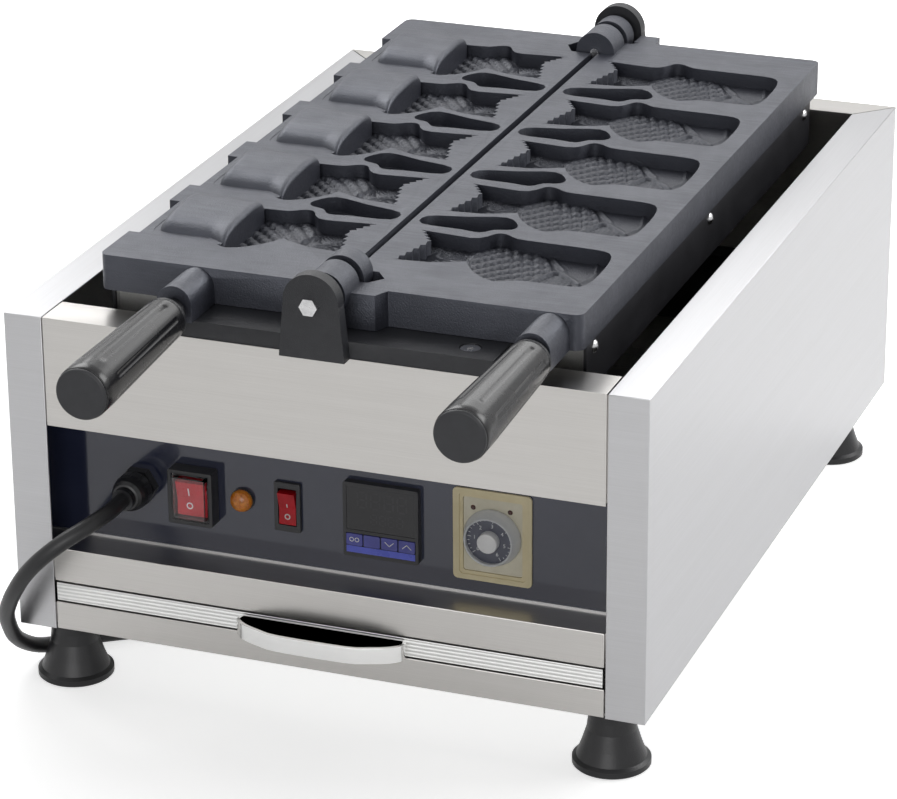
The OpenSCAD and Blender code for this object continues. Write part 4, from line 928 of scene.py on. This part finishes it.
def core_mesh(name):
    mesh = bmesh.new()
    for i in range(FISH_COUNT):
        grid = bmesh.ops.create_grid(mesh, x_segments=34, y_segments=44, size=0.5)["verts"]
        for vert in grid:
            s, t = vert.co.x + 0.5, vert.co.y + 0.5
            # Closer rows near the edges, where the surface turns down
            s = 0.5 - 0.5 * math.cos(math.pi * s)
            t = 0.5 - 0.5 * math.cos(math.pi * t)
            u = CORE_IN + (CORE_OUT - CORE_IN) * s
            front, back = core_width(u)
            v = front + (back - front) * t
            vert.co = at(-u, FISH_FIRST + FISH_PITCH * i + v, FISH_FLOOR + core_height(u, v))
    foot_z = FISH_FLOOR - CORE_SUNK
    bmesh.ops.holes_fill(mesh, edges=drop_rim(mesh, at(0, 0, foot_z).z), sides=0)
    for i in range(FISH_COUNT):
        # The core's foot fills the mouth of the cavity up to the mating face
        y = FISH_FIRST + FISH_PITCH * i
        add_box(mesh, at(-CORE_FOOT_OUT, y + CORE_FOOT_FRONT, foot_z),
                at(-CORE_FOOT_IN, y + CORE_FOOT_BACK, MATE_Z - SHUT_CLEAR))
    return closed_data(mesh, name, 50)


cores = add_piece("core_pillows", core_mesh("core_pillows"), cast_black, "left_half")
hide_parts("mouth_cores")


# Painted shade behind the vents: a dark folded sheet on the inside of the back panel, so that the vents show
# dark

def add_vent_guard():
    mesh = bmesh.new()
    back, off, half, thick = 564.8, 14.0, 168.0, 0.8
    low, high = 42.0, 82.0
    outline = [(back, high + 8), (back, high), (back - off, high - 8), (back - off, low - 6)]
    for (y0, z0), (y1, z1) in zip(outline, outline[1:]):
        corners = ((-half, y0, z0), (half, y0, z0), (half, y1, z1), (-half, y1, z1))
        mesh.faces.new([mesh.verts.new(at(*corner)) for corner in corners])
    bmesh.ops.remove_doubles(mesh, verts=mesh.verts, dist=1e-6)
    bmesh.ops.recalc_face_normals(mesh, faces=mesh.faces)
    bmesh.ops.solidify(mesh, geom=mesh.faces[:], thickness=thick / 1000)
    add_piece("vent_shade_sheet", mesh_data(mesh, "vent_shade_sheet"), skirt_black, "cabinet")


add_vent_guard()


# Controls

FASCIA_Y = 27.0


def add_ring(mesh, outer, inner, deep, sides, turn):
    """Flat ring round the Y axis, with its front at y = 0 before the turn."""
    ring = spin([(outer, 0), (inner, 0), (inner, deep), (outer, deep), (outer, 0)], sides)
    bmesh.ops.transform(ring, verts=ring.verts, matrix=turn)
    data = mesh_data(ring, "ring")
    copy_in(mesh, data)
    bpy.data.meshes.remove(data)


def place_all(mesh, x, y, z):
    """From millimetres round (0, 0, 0) to metres in the frame, with the origin at cabinet (x, y, z)."""
    for vert in mesh.verts:
        vert.co = at(x + vert.co.x, y + vert.co.y, z + vert.co.z)


def add_control(name, mesh, place, finish, body):
    """Piece from a mesh in millimetres round a place on the fascia."""
    place_all(mesh, *place)
    return add_piece(name, closed_data(mesh, name), finish, body)


# Bright edge where the fascia meets the shelf under it

def add_lip():
    corners = [corner.co for corner in frame["nodes"]["control_fascia"].data.vertices]
    half, low = max(corner.x for corner in corners), min(corner.z for corner in corners)
    front = at(0, FASCIA_Y, 0).y
    mesh = bmesh.new()
    add_box(mesh, (-half, front - 0.00085, low - 0.00005), (half, front + 0.00005, low + 0.00105))
    add_piece("fascia_lip", closed_data(mesh, "fascia_lip"), side_steel, "cabinet")


add_lip()


# Marks on the rockers: a bar above, a ring below

ROCKER_TILT, ROCKER_FALL = 7.0, 1.5  # Degrees at rest, and how far each face falls back to its end
ROCKER_AXIS = 3.0
INK_OUT, INK_IN = 0.12, 0.3
POWER_X, ALARM_X = -93.2, -32.1


def rocker_marks(name, body, x, half, proud, bar_z, bar_h, ring_z, ring_r, line):
    """The rocker's two faces meet in its middle and its axis lies a little behind the fascia's front."""
    mesh = bmesh.new()
    axis = Matrix.Rotation(math.radians(ROCKER_TILT), 4, "X")

    def face_turn(z):
        lean = math.atan2(ROCKER_FALL, half) * (1 if z > 0 else -1)
        middle = Vector((0, ROCKER_FALL - proud - ROCKER_FALL * abs(z) / half, z))
        return axis @ Matrix.Translation(middle) @ Matrix.Rotation(lean, 4, "X")

    add_box(mesh, (-line / 2, -INK_OUT, -bar_h / 2), (line / 2, INK_IN, bar_h / 2), face_turn(bar_z))
    turn = face_turn(ring_z) @ Matrix.Translation((0, -INK_OUT, 0))
    add_ring(mesh, ring_r, ring_r - line, INK_IN, 28, turn)
    add_control(name, mesh, (x, FASCIA_Y + ROCKER_AXIS, CONTROLS_Z), ink_white, body)


rocker_marks("power_marks", "power_rocker", POWER_X - 1.5, 11.5, 11.5, 4.6, 5.6, -5.0, 2.2, 0.75)
rocker_marks("alarm_marks", "alarm_rocker", ALARM_X, 10.8, 6.6, 1.9, 2.6, -5.6, 1.9, 0.7)


# Temperature controller: a strip under the keys, signs on them and unlit digits in the window

CONTROLLER_X = 29.8
CONTROLLER_Y = FASCIA_Y - 5.0
KEY_PITCH, KEY_DROP, KEY_PROUD = 11.3, 13.0, 0.5
SIGN_OUT, SIGN_R, SIGN_LINE = 0.06, 1.5, 0.5
DIGIT_ROWS = ((13.6, 10.0, 5.6, 8.6, 1.1, 1.0), (1.6, 6.4, 3.6, 5.6, 0.75, 4.0))
WINDOW_IN = 0.32


def add_strip():
    mesh = bmesh.new()
    add_box(mesh, (-22.2, -0.25, -21.6), (22.2, 0.2, -17.3))
    add_control("key_strip", mesh, (CONTROLLER_X, CONTROLLER_Y, CONTROLS_Z), strip_blue, "cabinet")


def stroke(mesh, start, end, line):
    """Thin bar from one (x, z) to another."""
    run = Vector((end[0] - start[0], 0, end[1] - start[1]))
    turn = Matrix.Translation(((start[0] + end[0]) / 2, 0, (start[1] + end[1]) / 2))
    turn = turn @ Matrix.Rotation(-math.atan2(run.z, run.x), 4, "Y")
    add_box(mesh, (-run.length / 2, -SIGN_OUT, -line / 2), (run.length / 2, 0.1, line / 2), turn)


def add_key_signs():
    """Two loops, an arrow down and an arrow up."""
    for key, up in ((1, 0), (3, -1), (4, 1)):
        mesh = bmesh.new()
        if up:
            stroke(mesh, (-2.9, -1.4 * up), (0.1, 1.4 * up), SIGN_LINE)
            stroke(mesh, (-0.1, 1.4 * up), (2.9, -1.4 * up), SIGN_LINE)
        else:
            for x in (-1.7, 1.7):
                add_ring(mesh, SIGN_R, SIGN_R - SIGN_LINE, 0.1, 20, Matrix.Translation((x, -SIGN_OUT, 0)))
        place = (CONTROLLER_X + (key - 2.5) * KEY_PITCH, CONTROLLER_Y - KEY_PROUD, CONTROLS_Z - KEY_DROP)
        add_control("key_%d_sign" % key, mesh, place, ink_white, "key_%d" % key)


def add_digits():
    """Two rows of four unlit digits, each of seven strokes."""
    mesh = bmesh.new()
    for z, high, wide, pitch, line, shift in DIGIT_ROWS:
        for k in range(4):
            x = (k - 1.5) * pitch + shift
            for side in (x - wide / 2, x + wide / 2):
                for half in (-1, 1):
                    stroke(mesh, (side, z + half * 0.5), (side, z + half * (high / 2 - 0.5)), line)
            for level in (z - high / 2, z, z + high / 2):
                stroke(mesh, (x - wide / 2 + line, level), (x + wide / 2 - line, level), line)
    place = (CONTROLLER_X, CONTROLLER_Y + WINDOW_IN, CONTROLS_Z)
    add_control("unlit_digits", mesh, place, digit_grey, "cabinet")


strip_blue = grained("strip_blue", (0.1, 0.13, 0.66), (0.13, 0.16, 0.76), (0.24, 0.32), 1500, 80, 0.05)
digit_grey = grained("digit_grey", (0.028, 0.028, 0.032), (0.036, 0.036, 0.04), (0.2, 0.3), 1500, 80, 0.05)
add_strip()
add_key_signs()
add_digits()


# Timer: clear knob over a marked disc, with a white cap

TIMER_X = 100.0
KNOB_BACK = 26.4
KNOB_SWEEP, KNOB_START = 280.0, 220.0
DISC_FRONT = 5.6
disc_slate = grained("disc_slate", (0.085, 0.09, 0.12), (0.11, 0.115, 0.15), (0.35, 0.45), 1500, 120, 0.05)
knob_frost = clear_plastic("knob_frost", 0.34, 0.3)
cap_white = grained("cap_white", (0.93, 0.93, 0.93), (0.97, 0.97, 0.97), (0.25, 0.35), 1500, 90, 0.05)
led_dark = grained("led_dark", (0.05, 0.012, 0.01), (0.08, 0.02, 0.016), (0.12, 0.2), 900, 90, 0.05)


def add_knob():
    place = (TIMER_X, KNOB_BACK, CONTROLS_Z)
    ring = spin([(18.0, -0.2), (18.0, -1.6), (17.4, -2.6), (15.6, -8.6), (15.1, -9.0), (14.4, -8.8),
                 (14.2, -8.2), (15.4, -2.6), (15.4, -0.2), (18.0, -0.2)])
    ring = add_control("knob_ring", ring, place, knob_frost, "timer_knob")
    disc = spin([(0.0, -DISC_FRONT), (14.7, -DISC_FRONT), (14.9, -5.4), (14.9, -4.4), (0.0, -4.4)])
    add_control("knob_disc", disc, place, disc_slate, "timer_knob")
    cap = spin([(0.0, 17.9), (4.0, 17.9), (4.0, -4.0), (6.2, -4.6), (6.4, -5.6), (6.4, -10.2), (6.1, -10.8),
                (5.4, -11.1), (0.0, -11.2)])
    add_control("knob_cap", cap, place, cap_white, "timer_knob")
    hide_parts("timer_knob")


def around(radius, share):
    """Point on the disc at a share of the knob's sweep."""
    a = math.radians(KNOB_START - share * KNOB_SWEEP)
    return radius * math.cos(a), radius * math.sin(a)


def add_knob_marks():
    """Ticks round the disc, longer at every fourth, and numbers inside them."""
    mesh = bmesh.new()
    for k in range(25):
        long = 1.2 if k % 4 else 2.2
        stroke(mesh, around(14.0 - long, k / 24), around(14.0, k / 24), 0.35)
    place_all(mesh, TIMER_X, KNOB_BACK - DISC_FRONT - 0.02, CONTROLS_Z)
    for k in range(7):
        add_number(mesh, str(k), *around(9.6, k / 6))
    add_piece("knob_marks", closed_data(mesh, "knob_marks"), ink_white, "timer_knob")


def add_number(mesh, words, x, z):
    """Number in the built-in typeface, as a mesh standing on the disc."""
    curve = bpy.data.curves.new("number", "FONT")
    curve.body = words
    curve.size = 3.4
    curve.align_x = "CENTER"
    curve.align_y = "CENTER"
    curve.extrude = 0.05
    thing = bpy.data.objects.new("number", curve)
    flat = bpy.data.meshes.new_from_object(thing)
    bpy.data.objects.remove(thing)
    bpy.data.curves.remove(curve)
    for vert in copy_in(mesh, flat):
        across, up, out = vert.co
        vert.co = at(TIMER_X + x + across, KNOB_BACK - DISC_FRONT - 0.06 - out, CONTROLS_Z + z + up)
    bpy.data.meshes.remove(flat)


def add_leds():
    for side, x in (("left", 87.5), ("right", 110.9)):
        mesh = spin([(0.0, -0.9), (1.0, -0.7), (1.6, 0.0), (1.6, 0.6), (0.0, 0.6)], 32)
        add_control(side + "_led", mesh, (x, 26.9, CONTROLS_Z + 17.4), led_dark, "cabinet")


add_knob()
add_knob_marks()
add_leds()


# Studio

def add_floor():
    """Pale floor, brighter for the camera and for reflections than the light that it gives back."""
    mesh = bmesh.new()
    bmesh.ops.create_grid(mesh, x_segments=2, y_segments=2, size=2.5)
    floor = bpy.data.objects.new("studio_floor", mesh_data(mesh, "studio_floor"))
    bpy.context.scene.collection.objects.link(floor)
    material, tree, shader = new_material("floor_pale")
    set_inputs(shader, Base_Color=(0.93, 0.93, 0.93, 1), Roughness=0.7, Specular_IOR_Level=0.2)
    path = tree.nodes.new("ShaderNodeLightPath")
    away = add_node(tree, "ShaderNodeVectorMath", operation="LENGTH")
    object_place(tree, away.inputs[0])
    paler = value_range(tree, 0.66, 1.0, From_Min=0.5, From_Max=1.4)
    glow = tree.nodes.new("ShaderNodeEmission")
    wire(tree, (away, "Value", paler, "Value"), (paler, 0, glow, "Strength"))
    sheen = add_node(tree, "ShaderNodeEmission", Strength=0.38)
    dim = add_node(tree, "ShaderNodeBsdfDiffuse", Color=(0.45, 0.45, 0.45, 1))
    unseen = mix_shaders(tree, path.outputs["Is Diffuse Ray"], add_shaders(tree, shader, sheen), dim)
    whole = mix_shaders(tree, path.outputs["Is Camera Ray"], unseen, add_shaders(tree, shader, glow))
    tree.links.new(whole.outputs[0], tree.nodes["Material Output"].inputs["Surface"])
    dress(floor, material)


LOW_LIGHT, HIGH_LIGHT = 0.45, 0.75
FRONT_SHEEN, BACK_SHEEN = 0.95, 0.7


def add_world():
    """White for the camera; light that falls more from above, and reflections that darken to the back."""
    world = bpy.data.worlds.new("studio")
    bpy.context.scene.world = world
    world.use_nodes = True
    tree = world.node_tree
    lit = tree.nodes["Background"]
    seen = add_node(tree, "ShaderNodeBackground", Color=(1, 1, 1, 1), Strength=1.0)
    glossy = add_node(tree, "ShaderNodeBackground", Color=(1, 1, 1, 1), Strength=1.0)
    place = tree.nodes.new("ShaderNodeTexCoord")
    parts = tree.nodes.new("ShaderNodeSeparateXYZ")
    height = value_range(tree, LOW_LIGHT, HIGH_LIGHT, From_Min=0.1, From_Max=0.9)
    depth = value_range(tree, FRONT_SHEEN, BACK_SHEEN, From_Min=-0.9, From_Max=0.3)
    path = tree.nodes.new("ShaderNodeLightPath")
    direct = add_node(tree, "ShaderNodeMath", operation="MAXIMUM")
    wire(tree, (place, "Generated", parts, 0), (parts, "Z", height, "Value"), (parts, "Y", depth, "Value"),
         (height, 0, lit, "Strength"), (depth, 0, glossy, "Strength"), (path, "Is Camera Ray", direct, 0),
         (path, "Is Transmission Ray", direct, 1))
    unseen = mix_shaders(tree, path.outputs["Is Glossy Ray"], lit, glossy)
    whole = mix_shaders(tree, direct.outputs[0], unseen, seen)
    tree.links.new(whole.outputs[0], tree.nodes["World Output"].inputs["Surface"])


def add_lamp(name, place, target, size, power):
    data = bpy.data.lights.new(name, "AREA")
    data.shape = "RECTANGLE"
    data.size, data.size_y = size
    data.energy = power
    lamp = bpy.data.objects.new(name, data)
    lamp.location = place
    lamp.rotation_mode = "QUATERNION"
    lamp.rotation_quaternion = (Vector(target) - Vector(place)).to_track_quat("-Z", "Y")
    bpy.context.scene.collection.objects.link(lamp)


add_floor()
add_world()
add_lamp("over_left", (-1.2, 0.8, 1.6), (0, 0, 0.2), (1.4, 1.2), 20)
add_lamp("over_right", (1.6, 0.9, 1.5), (0, 0, 0.2), (1.4, 1.0), 22)
add_lamp("front_fill", (0.3, -2.2, 0.7), (0, -0.1, 0.12), (1.4, 0.9), 9)
add_lamp("over_back", (0.1, 1.3, 1.1), (0.05, -0.2, 0.28), (1.5, 0.5), 5)

bpy.context.scene.view_settings.view_transform = "Standard"
